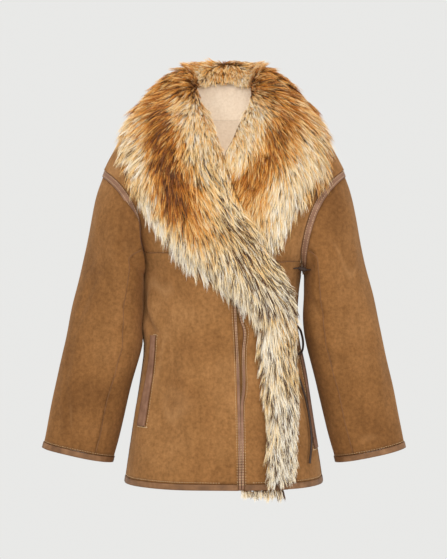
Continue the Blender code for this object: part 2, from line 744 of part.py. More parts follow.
def lapel_ring(row, blend, lift, clear):
    """Cross-section of a front's fur at one station: skin side out to the edge, then back over."""
    inner = Vector((row.inner_x, row.inner_y, row.inner_z))
    side = math.copysign(1, row.outer_x - row.inner_x)
    steps = len(LAPEL_BULGE) - 1
    outer_angle = angle_at(row.outer_x, row.outer_z)
    top_height = min(row.inner_z, NECK_HEIGHT)
    start_angle = angle_at(row.skin_x, top_height)
    skin, over = [], []
    for step in range(steps + 1):
        t = step / steps
        angle = outer_angle + (start_angle - outer_angle) * t
        height = row.outer_z + (top_height - row.outer_z) * t
        normal = body_normal(angle, height)
        point = body_point(angle, height)
        point += normal * (lift(point.x, height) + clear)
        skin.append(point)
        over.append(point + normal * row.full * LAPEL_BULGE[step])
    over.reverse()
    if blend < 1:
        shape = []
        for crest in CREST[1:]:
            shape.append(Vector((side * crest.side_x, 0, crest.side_z)))
        shift = inner - Vector((side * CREST[0].side_x, 0, CREST[0].side_z))
        over = [(crest + shift * (1 - index / steps)).lerp(own, blend)
                for index, (crest, own) in enumerate(zip(shape, over))]
    return skin + [inner] + over


def make_front_fur(name, rows, lift, look_name, look, from_shoulder):
    """Fur along one front, lofted through its stations."""
    rings = []
    for station in range(STATIONS_PER_ROW * (len(rows) - 1) + 1):
        row = smooth_between(rows, station / STATIONS_PER_ROW)
        blend = ease(station / STATIONS_PER_ROW, 0, SHOULDER_BLEND) if from_shoulder else 1.0
        ring = lapel_ring(row, blend, lift, FUR_LIFT)
        if from_shoulder and station == 0:
            for point in ring:
                point.y = -GAP / 2
        rings.append(ring)
    loft(name, rings, look_name, look)


def make_hem_tuft():
    """Fur that hangs out below the hem of the band."""
    rings = []
    for row in HEM_TUFT:
        angle = angle_at(row.x, HEM)
        normal = body_normal(angle, HEM)
        normal = Vector((normal.x, normal.y, 0)).normalized()
        middle = body_point(angle, HEM) + normal * (lap_lift(row.x, HEM) - WALL / 2)
        front = middle + normal * row.thickness / 2
        back = middle - normal * row.thickness / 2
        root = Vector((0, 0, -TRIM_PROUD / 2))
        tip = Vector((0, 0, -row.length))
        rings.append([front + root, front + tip * TUFT_TAPER, middle + tip,
                      back + tip * TUFT_TAPER, back + root])
    loft("fur_hem", rings, "grey_fur", GREY_FUR)


def make_welt(name, rows, lift):
    """Leather pocket welt lying on the cloth."""
    result = []
    for step in range(WELT_STEPS + 1):
        share = step / WELT_STEPS
        height = rows[0].height + (rows[-1].height - rows[0].height) * share
        row = smooth_row(rows, height)
        half = math.degrees(row.width / 2 / WELT_RADIUS)
        line = []
        for offset in (-half, 0, half):
            angle = row.centre + offset
            normal = body_normal(angle, height)
            point = body_point(angle, height)
            point += normal * (lift(point.x, height) + WELT_CLEAR)
            line.append((point + normal * WELT_THICKNESS, point))
        result.append(line)
    cloth(name, result, "trim_leather", LEATHER)


def smooth_route(points, step):
    """Evenly spaced points along a smooth curve through the route's own points."""
    Place = namedtuple("Place", "x y z")
    route = [Place(*point) for point in points]
    fine = [Vector(smooth_between(route, index / 20)) for index in range(20 * (len(route) - 1) + 1)]
    result = [fine[0]]
    for point in fine[1:]:
        if (point - result[-1]).length >= step:
            result.append(point)
    if (fine[-1] - result[-1]).length < step / 2:
        result.pop()
    return result + [fine[-1]]


def make_tie():
    """The thong, a plain round tube along its route."""
    curve = bpy.data.curves.new("tie", "CURVE")
    curve.dimensions = "3D"
    curve.bevel_depth = TIE_DIAMETER / 2
    curve.bevel_resolution = 2
    curve.use_fill_caps = True
    points = smooth_route(TIE_ROUTE, TIE_STEP)
    spline = curve.splines.new("POLY")
    spline.points.add(len(points) - 1)
    for target, point in zip(spline.points, points):
        target.co = (*point, 1.0)
    curve.materials.append(material("thong", THONG))
    coat.objects.link(bpy.data.objects.new("tie", curve))


for old in list(bpy.data.objects):
    bpy.data.objects.remove(old, do_unlink=True)
coat = bpy.data.collections.new("shearling_coat")
bpy.context.scene.collection.children.link(coat)

make_fronts()
make_back()
for mirrored in (False, True):
    make_sleeve(mirrored)
make_stand()
make_collar_fur()
make_front_fur("fur_lapel_right", OVER_LAPEL, lap_lift, "fur", FUR, True)
make_front_fur("fur_front_edge", FRONT_FUR, lap_lift, "grey_fur", GREY_FUR, False)
make_front_fur("fur_lapel_left", UNDER_LAPEL, no_lift, "fur", FUR, True)
make_hem_tuft()
make_welt("pocket_welt_right", RIGHT_WELT, lap_lift)
make_welt("pocket_welt_left", LEFT_WELT, no_lift)
make_tie()
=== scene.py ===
import json
import math
from collections import namedtuple
from functools import partial

import bmesh
import bpy
import numpy as np
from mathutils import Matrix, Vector
from mathutils.bvhtree import BVHTree

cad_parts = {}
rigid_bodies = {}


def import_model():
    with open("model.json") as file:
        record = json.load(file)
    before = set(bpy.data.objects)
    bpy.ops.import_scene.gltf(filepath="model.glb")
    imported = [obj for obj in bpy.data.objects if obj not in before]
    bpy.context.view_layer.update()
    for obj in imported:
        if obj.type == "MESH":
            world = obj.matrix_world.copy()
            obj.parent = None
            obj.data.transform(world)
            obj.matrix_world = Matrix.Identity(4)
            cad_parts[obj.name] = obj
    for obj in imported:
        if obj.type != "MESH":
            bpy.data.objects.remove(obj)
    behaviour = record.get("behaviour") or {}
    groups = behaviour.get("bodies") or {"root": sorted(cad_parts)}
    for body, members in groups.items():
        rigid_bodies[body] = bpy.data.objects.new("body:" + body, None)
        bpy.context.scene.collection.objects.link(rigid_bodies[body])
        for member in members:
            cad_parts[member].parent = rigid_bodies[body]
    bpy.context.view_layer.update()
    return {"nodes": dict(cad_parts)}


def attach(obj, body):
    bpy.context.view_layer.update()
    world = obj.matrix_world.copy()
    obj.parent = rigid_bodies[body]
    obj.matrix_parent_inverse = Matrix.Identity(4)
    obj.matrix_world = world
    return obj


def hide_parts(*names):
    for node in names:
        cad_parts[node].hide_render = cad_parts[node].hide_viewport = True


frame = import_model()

# ======================================================================================
# The view: a camera level with the waist, far enough off to flatten the coat a little,
# a pale round floor as far below the coat as a wearer's feet, and soft studio lamps.
# ======================================================================================
VIEW_POINT = (-0.00095, -3.2, -0.303)
VIEW_HEIGHT = 1.0621      # seen from top to bottom at the coat's mid-line
FLOOR_HEIGHT = -1.35
FLOOR_RADIUS = 2.9
BACKDROP = (0.812, 0.812, 0.799)


def linked(name, data):
    """A new object of the scene, for a camera, a lamp or a mesh."""
    made = bpy.data.objects.new(name, data)
    bpy.context.scene.collection.objects.link(made)
    return made


view_data = bpy.data.cameras.new("view")
view_data.sensor_fit = "VERTICAL"
view_data.angle = 2 * math.atan(VIEW_HEIGHT / 2 / -VIEW_POINT[1])
view = linked("view", view_data)
view.location = VIEW_POINT
view.rotation_euler = (math.radians(90), 0, 0)
bpy.context.scene.camera = view
bpy.context.scene.view_settings.view_transform = "Standard"


def linear(colour):
    """A colour as it looks on a screen, 0 to 255, or one plain level, as a shader takes it."""
    if isinstance(colour, (int, float)):
        return (colour, colour, colour, 1.0)
    result = []
    for channel in colour:
        share = channel / 255
        result.append(share / 12.92 if share <= 0.04045 else ((share + 0.055) / 1.055) ** 2.4)
    return (*result, 1.0)


def wire(tree, kind, inputs=None, **settings):
    """A node with its settings, and each input set to a value or linked to a socket."""
    made = tree.nodes.new(kind)
    for name, value in settings.items():
        setattr(made, name, value)
    for key, value in (inputs or {}).items():
        if isinstance(value, bpy.types.NodeSocket):
            tree.links.new(value, made.inputs[key])
        else:
            made.inputs[key].default_value = value
    return made


def finish_of(name, roughness, **constants):
    """A new material, its node tree and its shader, with the shader's constant values set."""
    made = bpy.data.materials.new(name)
    made.use_nodes = True
    shader = made.node_tree.nodes["Principled BSDF"]
    shader.inputs["Roughness"].default_value = roughness
    for key, value in constants.items():
        shader.inputs[key.replace("_", " ")].default_value = value
    return made, made.node_tree, shader


def ramp(tree, factor, *stops):
    """A ramp through (place, colour) stops, each a screen colour or one plain level."""
    made = wire(tree, "ShaderNodeValToRGB", {"Fac": factor})
    elements = made.color_ramp.elements
    while len(elements) < len(stops):
        elements.new(0.5)
    for element, (place, colour) in zip(elements, stops):
        element.position = place
        element.color = linear(colour)
    return made.outputs["Color"]


def blend_colours(tree, factor, first, second, mode="MIX"):
    return wire(tree, "ShaderNodeMix", {0: factor, 6: first, 7: second}, data_type="RGBA",
                blend_type=mode).outputs[2]


def noise(tree, scale, detail=2.0, rough=0.5, stretch=(1, 1, 1)):
    """Noise over the object's own coordinates, stretched along an axis if asked."""
    place = wire(tree, "ShaderNodeTexCoord").outputs["Object"]
    moved = wire(tree, "ShaderNodeMapping", {"Vector": place, "Scale": stretch})
    return wire(tree, "ShaderNodeTexNoise", {"Vector": moved.outputs[0], "Scale": scale,
                                             "Detail": detail, "Roughness": rough}).outputs["Fac"]


def raise_grain(tree, shader, height, depth, strength=1.0):
    bump = wire(tree, "ShaderNodeBump", {"Height": height, "Distance": depth,
                                         "Strength": strength})
    tree.links.new(bump.outputs[0], shader.inputs["Normal"])


def dye(tree, shader, tone):
    tree.links.new(tone, shader.inputs["Base Color"])


world = bpy.data.worlds.new("studio")
world.use_nodes = True
world.node_tree.nodes["Background"].inputs["Color"].default_value = (*BACKDROP, 1.0)
bpy.context.scene.world = world

for name, place, size, power, aim in (
        ("key lamp", (-1.4, -2.6, 1.5), 1.6, 24, (0, 0, -0.25)),
        ("side lamp", (2.2, -1.2, 0.6), 1.5, 12, (0, 0, -0.3)),
        ("front lamp", (0.1, -3.4, 0.7), 1.4, 34, (0, 0, -0.1)),
        ("collar lamp", (0.0, -1.0, 0.5), 0.3, 1.0, (0, 0.02, 0.02)),
        ("top lamp", (0.2, 1.4, 2.2), 1.5, 14, (0, 0, -0.1))):
    lamp_data = bpy.data.lights.new(name, "AREA")
    lamp_data.size = size
    lamp_data.energy = power
    lamp = linked(name, lamp_data)
    lamp.location = place
    lamp.rotation_euler = (Vector(aim) - Vector(place)).to_track_quat("-Z", "Y").to_euler()

neck_data = bpy.data.lights.new("neck lamp", "POINT")
neck_data.shadow_soft_size = 0.04
neck_data.energy = 0.27
linked("neck lamp", neck_data).location = (0, -0.03, -0.12)

floor_finish, _, _ = finish_of("floor paint", 0.9, Base_Color=(*BACKDROP, 1.0))
bpy.ops.mesh.primitive_circle_add(vertices=96, radius=FLOOR_RADIUS, fill_type="NGON",
                                  location=(0, 0, FLOOR_HEIGHT))
floor = bpy.context.object
floor.name = "floor"
floor.data.materials.append(floor_finish)

# ======================================================================================
# Tie: a flat-cut dark brown leather thong.  It comes out from under the fur at the over
# front's edge, turns once in a loose loop and hangs down the coat to its cut end.
# ======================================================================================
TIE_WIDTH = 0.0046
TIE_THICKNESS = 0.0036
TIE_CORNERS = 12
TIE_STEP = 0.004
TIE_FACING = Vector((0.55, -0.83, 0))


def table(kind, *rows, shares=0):
    """Rows of one kind, typed in millimetres and kept in metres.

    The last few columns may be shares, typed in hundredths."""
    units = [1000] * (len(rows[0]) - shares) + [100] * shares
    return [kind(*(value / unit for value, unit in zip(row, units))) for row in rows]


TiePoint = namedtuple("TiePoint", "x y z")
TIE_ROUTE = table(TiePoint,
    (110, -95.7, -384), (118, -86, -384.5), (129.7, -66, -386), (141.5, -40, -395),
    (147.2, -29, -410), (149, -28, -426), (145.5, -45, -438), (134.3, -72.5, -444),
    (128, -84.6, -451), (131, -85, -465), (140.7, -77.5, -489), (152.5, -70.4, -527),
    (159.5, -70.2, -565), (162.5, -76.3, -603), (158.2, -93, -642))


def smooth_row(rows, value):
    """The row at any value of the table's first column, on a smooth curve through its rows."""
    last = len(rows) - 1
    falling = rows[last][0] < rows[0][0]
    at = 0
    while at < last - 1 and (value < rows[at + 1][0]) == falling and value != rows[at + 1][0]:
        at += 1
    before, start, end, after = (np.array(rows[min(max(at + step, 0), last)])
                                 for step in (-1, 0, 1, 2))
    span = end[0] - start[0]
    t = (value - start[0]) / span
    slope_start = (end - before) / (end[0] - before[0]) * span
    slope_end = (after - start) / (after[0] - start[0]) * span
    return ((2 * t**3 - 3 * t**2 + 1) * start + (t**3 - 2 * t**2 + t) * slope_start
            + (3 * t**2 - 2 * t**3) * end + (t**3 - t**2) * slope_end)


def smooth_between(rows, place):
    """The row at a place counted in rows, such as 2.5, on a smooth curve through the rows."""
    numbered = [(float(index), *row) for index, row in enumerate(rows)]
    return smooth_row(numbered, place)[1:]


def even_path(points, step):
    """Points a step apart along a smooth curve through the given ones."""
    fine = [Vector(smooth_between(points, i / 20)) for i in range(20 * (len(points) - 1) + 1)]
    result = [fine[0]]
    for point in fine[1:]:
        if (point - result[-1]).length >= step:
            result.append(point)
    if (fine[-1] - result[-1]).length < step / 2:
        result.pop()
    return result + [fine[-1]]


SHARP_FROM = 50           # degrees between two faces from which their edge stays sharp


def new_piece(name, mesh, finish):
    """A finished mesh as an object of the coat, smooth but for its sharp edges."""
    mesh.materials.append(finish)
    mesh.shade_smooth()
    mesh.set_sharp_from_angle(angle=math.radians(SHARP_FROM))
    return linked(name, mesh)


def mesh_from(work, name):
    """A plain mesh of a worked one, which is then put away."""
    mesh = bpy.data.meshes.new(name)
    work.to_mesh(mesh)
    work.free()
    return mesh


def closed_rings(name, rings):
    """A mesh over rings of points, each joined to the next, with a face at either end."""
    work = bmesh.new()
    loops = [[work.verts.new(point) for point in ring] for ring in rings]
    for first, second in zip(loops, loops[1:]):
        for i in range(len(first)):
            j = (i + 1) % len(first)
            work.faces.new((first[i], first[j], second[j], second[i]))
    work.faces.new(loops[0])
    work.faces.new(loops[-1])
    bmesh.ops.recalc_face_normals(work, faces=work.faces)
    return mesh_from(work, name)


def tube(name, path, finish, width, thickness, corners, facing):
    """A strap of rounded section along a path, its flat side turned to face a direction."""
    rings = []
    for index, point in enumerate(path):
        along = path[min(index + 1, len(path) - 1)] - path[max(index - 1, 0)]
        along.normalize()
        across = along.cross(facing(point)).normalized()
        out = across.cross(along).normalized()
        turns = [2 * math.pi * corner / corners for corner in range(corners)]
        rings.append([point + across * width / 2 * math.cos(turn)
                      + out * thickness / 2 * math.sin(turn) for turn in turns])
    return new_piece(name, closed_rings(name, rings), finish)


thong_leather, tree, shader = finish_of("thong leather", 0.5, Specular_IOR_Level=0.4)
dye(tree, shader, ramp(tree, noise(tree, 260, 3), (0.3, (42, 28, 20)), (0.7, (70, 48, 34))))
raise_grain(tree, shader, noise(tree, 1400), 0.0002)

tie_path = even_path(TIE_ROUTE, TIE_STEP)
tie = tube("tie_thong", tie_path, thong_leather, TIE_WIDTH, TIE_THICKNESS, TIE_CORNERS,
           lambda point: TIE_FACING)
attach(tie, "root")
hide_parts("tie")

# ======================================================================================
# Back: one shearling panel from side seam to side seam.  The suede is the skin's flesh
# side, brushed to a nap and faintly mottled, and the clipped cream wool lies inside.
# ======================================================================================
WALL = 0.005              # suede skin with its clipped wool
SQUARENESS = 2.25         # 2 would make each body section an ellipse
NECK_HEIGHT = 0.016
UNDERARM = -0.288
Section = namedtuple("Section", "height right left front back")
BODY = table(Section,
    (16, 88, 88, 40, 58), (0, 138, 138, 54, 70), (-18, 176, 176, 66, 80), (-36, 197, 197, 79, 89),
    (-65, 213, 213, 96, 99), (-95, 229, 229, 109, 107), (-128, 227, 227, 121, 113),
    (-163, 212, 212, 131, 117), (-211, 186, 186, 140, 119), (-250, 164, 164, 142, 118),
    (-288, 148, 148, 141, 115), (-340, 146, 141, 136, 108), (-384, 146, 137, 133, 104),
    (-429, 150, 143, 133, 108), (-452, 153, 148, 134, 112), (-498, 159, 158, 138, 122),
    (-543, 167, 167, 143, 132), (-589, 174, 174, 148, 140), (-635, 181, 181, 153, 146),
    (-685, 188, 188, 157, 150))

Crease = namedtuple("Crease", "x z to_x to_z width depth")
BODY_CREASES_FRONT = table(Crease,     # a depth over 0 is a trough, under 0 a ridge
    (-146, -318, -130, -404, 6, 7), (-134, -330, -112, -400, 10, -3),
    (-140, -300, -60, -352, 14, 3), (-128, -274, -70, -292, 11, 2.2),
    (-98, -425, -90, -640, 20, 3.2), (-50, -400, -40, -620, 26, -3.4),
    (-10, -440, 4, -650, 18, 3), (-128, -470, -142, -650, 16, -3), (62, -560, 70, -660, 12, 2.4),
    (138, -292, 118, -345, 8, 4), (130, -345, 148, -430, 10, -2.8), (136, -430, 150, -640, 14, 3),
    (122, -205, 88, -244, 12, 2.2))
BODY_CREASES_BACK = table(Crease,
    (-120, -300, -30, -372, 14, 4.2), (124, -296, 40, -360, 13, 4), (-50, -340, 62, -352, 12, 3),
    (30, -384, -70, -398, 13, 3.4), (-96, -420, -110, -655, 20, 4),
    (-40, -440, -52, -665, 24, -4), (14, -450, 10, -660, 18, 3.6), (72, -430, 88, -650, 22, -3.8),
    (118, -430, 134, -640, 16, 3.8), (-90, -150, -118, -290, 18, 3), (94, -140, 116, -280, 20, 3),
    (-20, -160, -8, -300, 26, -2.6))
SWELL = 0.0016            # the cloth's soft unevenness, over a hand's breadth or so


def smooth_step(value, start, end):
    """0 before start, 1 after end, with a soft change between; for numbers and arrays."""
    t = np.clip((value - start) / (end - start), 0.0, 1.0)
    return t * t * (3 - 2 * t)


def crease_depth(x, z, creases):
    """How deep the creases are at each x and z, a trough with a low shoulder on either side."""
    total = np.zeros_like(x)
    for row in creases:
        run = np.array((row.to_x - row.x, row.to_z - row.z))
        length = np.hypot(*run)
        along = ((x - row.x) * run[0] + (z - row.z) * run[1]) / length**2
        bow = 0.10 * length * np.sin(math.pi * np.clip(along, 0, 1))
        aside = ((x - row.x) * run[1] - (z - row.z) * run[0]) / length - bow
        share = aside / row.width
        fade = smooth_step(along, -0.15, 0.3) * smooth_step(-along, -1.15, -0.7)
        shoulder = 0.35 * np.exp(-(np.abs(share) - 2.1) ** 2)
        total += row.depth * fade * (np.exp(-share**2) - shoulder)
    return total


def unit(vectors):
    """Each vector of an array made one long."""
    return vectors / np.maximum(np.linalg.norm(vectors, axis=-1, keepdims=True), 1e-9)


BODY_HALF_WIDTH, BODY_HALF_DEPTH = 0.17, 0.135          # of an even oval, like the body's


def body_outward(points):
    """Level outward direction of the body's cloth at each point."""
    return unit(points * np.array((1 / BODY_HALF_WIDTH**2, 1 / BODY_HALF_DEPTH**2, 0)))


UNDERARM_EASE = 0.009     # the right underarm's cloth sags out this far in front
SIDE_SWELL = 0.0055       # and the body's side fills out below it, against the sleeve


def eased(points):
    """Points of cloth near the right underarm moved out with its sag; the others stay."""
    x, y, z = points.T
    reach = smooth_step(-x, 0.128, 0.150) * (1 - smooth_step(-x, 0.162, 0.215))
    level = smooth_step(-z, 0.185, 0.240) * smooth_step(z, -0.430, -0.375)
    moved = points.copy()
    moved[:, 0] -= UNDERARM_EASE * reach * level * smooth_step(-y, -0.06, 0.0)
    return moved


def body_drape(points):
    """The body's cloth with its creases and soft swells; it lies still round the armholes."""
    points = eased(points)
    x, y, z = points.T
    front = crease_depth(x, z, BODY_CREASES_FRONT)
    back = crease_depth(x, z, BODY_CREASES_BACK)
    depth = np.where(y < 0, front, back) * smooth_step(np.abs(y), 0.004, 0.045)
    swell = SWELL * (np.sin(31 * x + 17 * z + 3 * np.sign(y)) + np.sin(23 * z - 19 * x + 1.3)
                     + 0.6 * np.sin(57 * x - 9 * z + 0.4))
    still = smooth_step(np.abs(x), 0.105, 0.140) * smooth_step(z, UNDERARM - 0.045, UNDERARM)
    still = np.maximum(still, smooth_step(z, -0.10, -0.03))
    draped = points + body_outward(points) * ((swell - depth) * (1 - still))[:, None]
    side = smooth_step(-x, 0.132, 0.154) * np.exp(-((y / 0.05) ** 2))
    level = smooth_step(-z, -UNDERARM, 0.325) * smooth_step(z, -0.450, -0.400)
    draped[:, 0] -= SIDE_SWELL * side * level
    return draped


def as_points(vectors):
    return np.array([tuple(vector) for vector in vectors])


SAME_POINT = 0.00001
CORNER = math.radians(40) # an edge sharper than this is one of the piece's own
FINER = 2                 # times that each face is cut in four
SEAM_DIP = 0.0010         # the shearling's outer face sinks this far where it is sewn


def sides_of(work, hard):
    """A piece's faces in groups that no hard edge divides, the largest first."""
    sides, left = [], set(work.faces)
    while left:
        group = [left.pop()]
        for face in group:
            near = {other for edge in face.edges if edge not in hard
                    for other in edge.link_faces} & left
            group.extend(near)
            left -= near
        sides.append(group)
    return sorted(sides, key=lambda group: -sum(face.calc_area() for face in group))


def shell(node, drape, finishes, centre=None, rim=1.0, seam_dip=0.0):
    """A CAD piece of cloth or leather made finer, softened and draped.

    rim is how hard its edges stay, from 0 to 1.  A second finish goes on its inner face,
    and a seam_dip sinks the outer face where it is sewn, all round."""
    work = bmesh.new()
    work.from_mesh(frame["nodes"][node].data)
    harden = work.edges.layers.float.new("crease_edge")
    bmesh.ops.remove_doubles(work, verts=work.verts, dist=SAME_POINT)
    bmesh.ops.join_triangles(work, faces=work.faces, angle_face_threshold=CORNER,
                             angle_shape_threshold=math.pi)
    hard = {edge for edge in work.edges if edge.calc_face_angle(0) > CORNER}
    for edge in hard:
        edge[harden] = rim
    if len(finishes) > 1:
        def facing_out(group):
            return sum(face.normal.dot(face.calc_center_median() - centre(face)) * face.calc_area()
                       for face in group)
        inner, outer = sorted(sides_of(work, hard)[:2], key=facing_out)
        for face in inner:
            face.material_index = 1
        outer = set(outer)
        rim_points = {vert for edge in hard for vert in edge.verts}
        for vert in {vert for face in outer for vert in face.verts} & rim_points:
            normals = [face.normal for face in vert.link_faces if face in outer]
            vert.co -= sum(normals, Vector()).normalized() * seam_dip
    mesh = mesh_from(work, node + "_shell")
    rough = linked(node + "_rough", mesh)
    finer = rough.modifiers.new("finer", "SUBSURF")
    finer.levels = finer.render_levels = FINER
    finer.use_limit_surface = False
    seen = rough.evaluated_get(bpy.context.evaluated_depsgraph_get())
    smooth = bpy.data.meshes.new_from_object(seen)
    bpy.data.objects.remove(rough, do_unlink=True)
    bpy.data.meshes.remove(mesh)
    if drape:
        places = np.empty(len(smooth.vertices) * 3)
        smooth.vertices.foreach_get("co", places)
        smooth.vertices.foreach_set("co", drape(places.reshape(-1, 3)).ravel())
    smooth.update()
    for finish in finishes[:-1]:
        smooth.materials.append(finish)
    return new_piece(node + "_cloth", smooth, finishes[-1])


def body_centre(face):
    """A point inside the coat, well below a face, to tell its outside from its inside."""
    return Vector((0, 0, face.calc_center_median().z - 0.08))


def suede(name, light, middle, dark, rub):
    """Brushed suede: clouds of nap, fine mottling, brush marks, and wrinkles rubbed paler."""
    made, tree, shader = finish_of(name, 0.92, Sheen_Weight=0.22, Sheen_Roughness=0.45,
                                   Sheen_Tint=linear((235, 190, 140)), Specular_IOR_Level=0.2)
    clouds = noise(tree, 9, 3, 0.55)
    tone = ramp(tree, clouds, (0.30, dark), (0.5, middle), (0.72, light))
    mottle = noise(tree, 150, 5, 0.7)
    fine = ramp(tree, mottle, (0.3, (194, 189, 180)), (0.66, 1))
    tone = blend_colours(tree, 0.85, tone, fine, "MULTIPLY")
    brushed = noise(tree, 60, 3, 0.6, (1, 1, 0.16))
    marks = ramp(tree, brushed, (0.35, (226, 224, 218)), (0.65, 1))
    tone = blend_colours(tree, 0.6, tone, marks, "MULTIPLY")
    folds = noise(tree, 5, 1.5, 0.4, (1, 1, 0.5))
    wrinkles = ramp(tree, folds, (0.484, 0), (0.5, 1), (0.516, 0))
    worn = ramp(tree, noise(tree, 10), (0.46, 0), (0.62, 0.22))
    rubbed = blend_colours(tree, 1.0, wrinkles, worn, "MULTIPLY")
    dye(tree, shader, blend_colours(tree, rubbed, tone, linear(rub)))
    raise_grain(tree, shader, noise(tree, 520, 3, 0.7), 0.0008, 0.8)
    return made


tan_suede = suede("tan suede", (175, 126, 78), (160, 112, 65), (145, 98, 54), (206, 158, 108))
# The sleeves' suede is a darker copy of the body's: painted shade for the way light falls on their
# nap.
sleeve_suede_painted_darker = suede("sleeve suede painted darker", (162, 114, 68), (148, 101, 56), (131, 87, 46),
                     (190, 142, 94))

cream_wool, tree, shader = finish_of("clipped cream wool", 0.95, Sheen_Weight=0.3,
                                     Sheen_Roughness=0.6, Specular_IOR_Level=0.1)
tufts = noise(tree, 240, 3, 0.6)
patches = ramp(tree, noise(tree, 14, 3), (0.35, (226, 207, 184)), (0.65, (236, 219, 197)))
clipped = ramp(tree, tufts, (0.35, (222, 212, 198)), (0.6, 1))
dye(tree, shader, blend_colours(tree, 0.3, patches, clipped, "MULTIPLY"))
raise_grain(tree, shader, tufts, 0.001, 0.6)

back = shell("back", body_drape, (tan_suede, cream_wool), body_centre, seam_dip=SEAM_DIP)
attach(back, "root")
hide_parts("back")

# ======================================================================================
# Fronts: the over front in three panels, parted by its chest seam and its piped seam, and
# the under front in two.  They are the same shearling as the back.
# ======================================================================================
for name in ("front_right_upper", "front_right_lower", "front_band", "front_left_upper",
             "front_left_lower"):
    piece = shell(name, body_drape, (tan_suede, cream_wool), body_centre, seam_dip=SEAM_DIP)
    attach(piece, "root")
    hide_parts(name)

# ======================================================================================
# Sleeves: each has a wide top sleeve and a narrow under sleeve of the same shearling,
# seamed down the front and the back of the arm, and is set in a dropped armhole.  Their
# suede is painted darker than the body's, as painted shade of the light on its nap.
# ======================================================================================
SHOULDER_TIP = -0.095
SLEEVE_SEAM = 121.0       # degrees from the sleeve's outer edge to its front and back seams
ARMHOLE_STRIP = 0.012
Armhole = namedtuple("Armhole", "height front back")
ARMHOLE = table(Armhole,
    (-95, 229, 229), (-110, 209, 214), (-128, 190, 202), (-163, 166, 182), (-211, 149.5, 166),
    (-250, 143, 156), (-270, 143.5, 151), (-288, 148, 148))
Ring = namedtuple("Ring", "outer_x outer_z inner_x inner_y inner_z front back")
SLEEVE = table(Ring,
    (240, -133, 150.5, -20, -300, -88, 62), (250, -175, 149.5, -30, -315, -87, 64),
    (259, -218, 148.5, -36, -333, -84, 65), (269, -262, 147.5, -38, -353, -81, 64),
    (280, -310, 148, -36, -380, -78, 62), (291, -358, 151.5, -30, -412, -76, 60),
    (302, -412, 158, -24, -446, -74, 57), (314, -468, 171, -18, -493, -72, 54),
    (325, -521, 185, -14, -548, -70, 51), (334, -566, 196, -11, -594, -68, 49),
    (342, -608.5, 207, -10, -637, -67, 48), (344.6, -619.5, 209.5, -10, -648, -67, 48))
CUFF_EDGE = len(SLEEVE) - 1          # place of the ring where the cuff's binding starts

LEFT_ARM_FRONT = table(Crease,
    (161, -232, 153.5, -335, 6.5, 5.5), (173, -245, 165, -335, 8, -3.2),
    (156, -345, 232, -392, 10, 4.2), (163, -385, 262, -424, 11, 3.8),
    (172, -425, 240, -470, 12, 3.4), (262, -190, 296, -400, 18, -3.4),
    (226, -450, 268, -600, 16, 3), (292, -440, 316, -590, 14, -2.8),
    (214, -180, 200, -300, 16, 2.6))
LEFT_ARM_BACK = table(Crease,
    (172, -300, 250, -372, 12, 4.4), (166, -352, 258, -402, 11, 4),
    (176, -420, 268, -440, 12, 3.4), (222, -180, 238, -320, 18, -3.4),
    (238, -460, 286, -600, 18, 3.4))
RIGHT_ARM_FRONT = table(Crease,
    (-220.4, -262, -287, -600, 6, 2.2), (-158, -250, -154.5, -340, 7, 4.5),
    (-152, -352, -228, -386, 10, 3.6), (-160, -402, -250, -438, 12, 3.6),
    (-184, -452, -262, -482, 12, 2.8), (-266, -205, -300, -430, 20, -3.4),
    (-190, -170, -184, -290, 15, -2.8), (-300, -460, -322, -600, 14, 2.6),
    (-232, -500, -250, -620, 14, -2.6))
RIGHT_ARM_BACK = table(Crease,
    (-168, -312, -244, -360, 12, 4.4), (-170, -372, -262, -412, 11, 4.2),
    (-184, -432, -270, -446, 13, 3.2), (-220, -170, -244, -330, 20, -3.4),
    (-244, -450, -280, -610, 16, 3.4))


def signed_power(value, power):
    return math.copysign(abs(value) ** power, value)


def body_point(angle, height):
    """Outer face of the body; 0 degrees is the wearer's left side, and 90 the front."""
    _, right, left, front, behind = smooth_row(BODY, height)
    across = math.cos(math.radians(angle))
    forward = math.sin(math.radians(angle))
    half_width = left if across > 0 else right
    depth = front if forward > 0 else behind
    return Vector((half_width * signed_power(across, 2 / SQUARENESS),
                   -depth * signed_power(forward, 2 / SQUARENESS), height))


def body_normal(angle, height):
    upper = min(height + 0.003, NECK_HEIGHT)
    across = body_point(angle + 1, height) - body_point(angle - 1, height)
    upward = body_point(angle, upper) - body_point(angle, upper - 0.006)
    return upward.cross(across).normalized()


def angle_at(x, height, behind=False):
    """Angle round the body where its face is at a given x."""
    _, right, left, _, _ = smooth_row(BODY, height)
    share = min(abs(x) / (left if x > 0 else right), 1.0) ** (SQUARENESS / 2)
    angle = math.degrees(math.acos(math.copysign(share, x)))
    return 360 - angle if behind else angle


def armhole_point(turn):
    """Armhole edge; turn is 0 at the shoulder, 90 in front, 180 at the underarm, 270 behind."""
    middle = (SHOULDER_TIP + UNDERARM) / 2
    height = middle + (SHOULDER_TIP - UNDERARM) / 2 * math.cos(math.radians(turn))
    behind = turn % 360 > 180
    if height >= SHOULDER_TIP or height <= UNDERARM:
        return body_point(0, height)
    _, front_x, back_x = smooth_row(ARMHOLE, height)
    return body_point(angle_at(back_x if behind else front_x, height, behind), height)


def sleeve_point(place, turn):
    """Outer face of the left sleeve; place counts rings from the armhole, which is 0."""
    track = [tuple(armhole_point(turn))]
    for row in SLEEVE:
        middle_y = (row.front + row.back) / 2
        outer = Vector((row.outer_x, 2 * middle_y - row.inner_y, row.outer_z))
        inner = Vector((row.inner_x, row.inner_y, row.inner_z))
        point = (outer + inner) / 2 + (outer - inner) / 2 * math.cos(math.radians(turn))
        point.y -= (row.back - row.front) / 2 * math.sin(math.radians(turn))
        track.append(tuple(point))
    if place < 1:
        return Vector(track[0]).lerp(Vector(track[1]), place)
    return Vector(smooth_between(track, place))


ARM_TOP, ARM_FOOT = -0.22, -0.63
ARM_AT_TOP = (0.205, -0.012)         # x and y of the left arm's middle line
ARM_RUN = (0.072, 0.0025)            # how far they move from its top to its foot


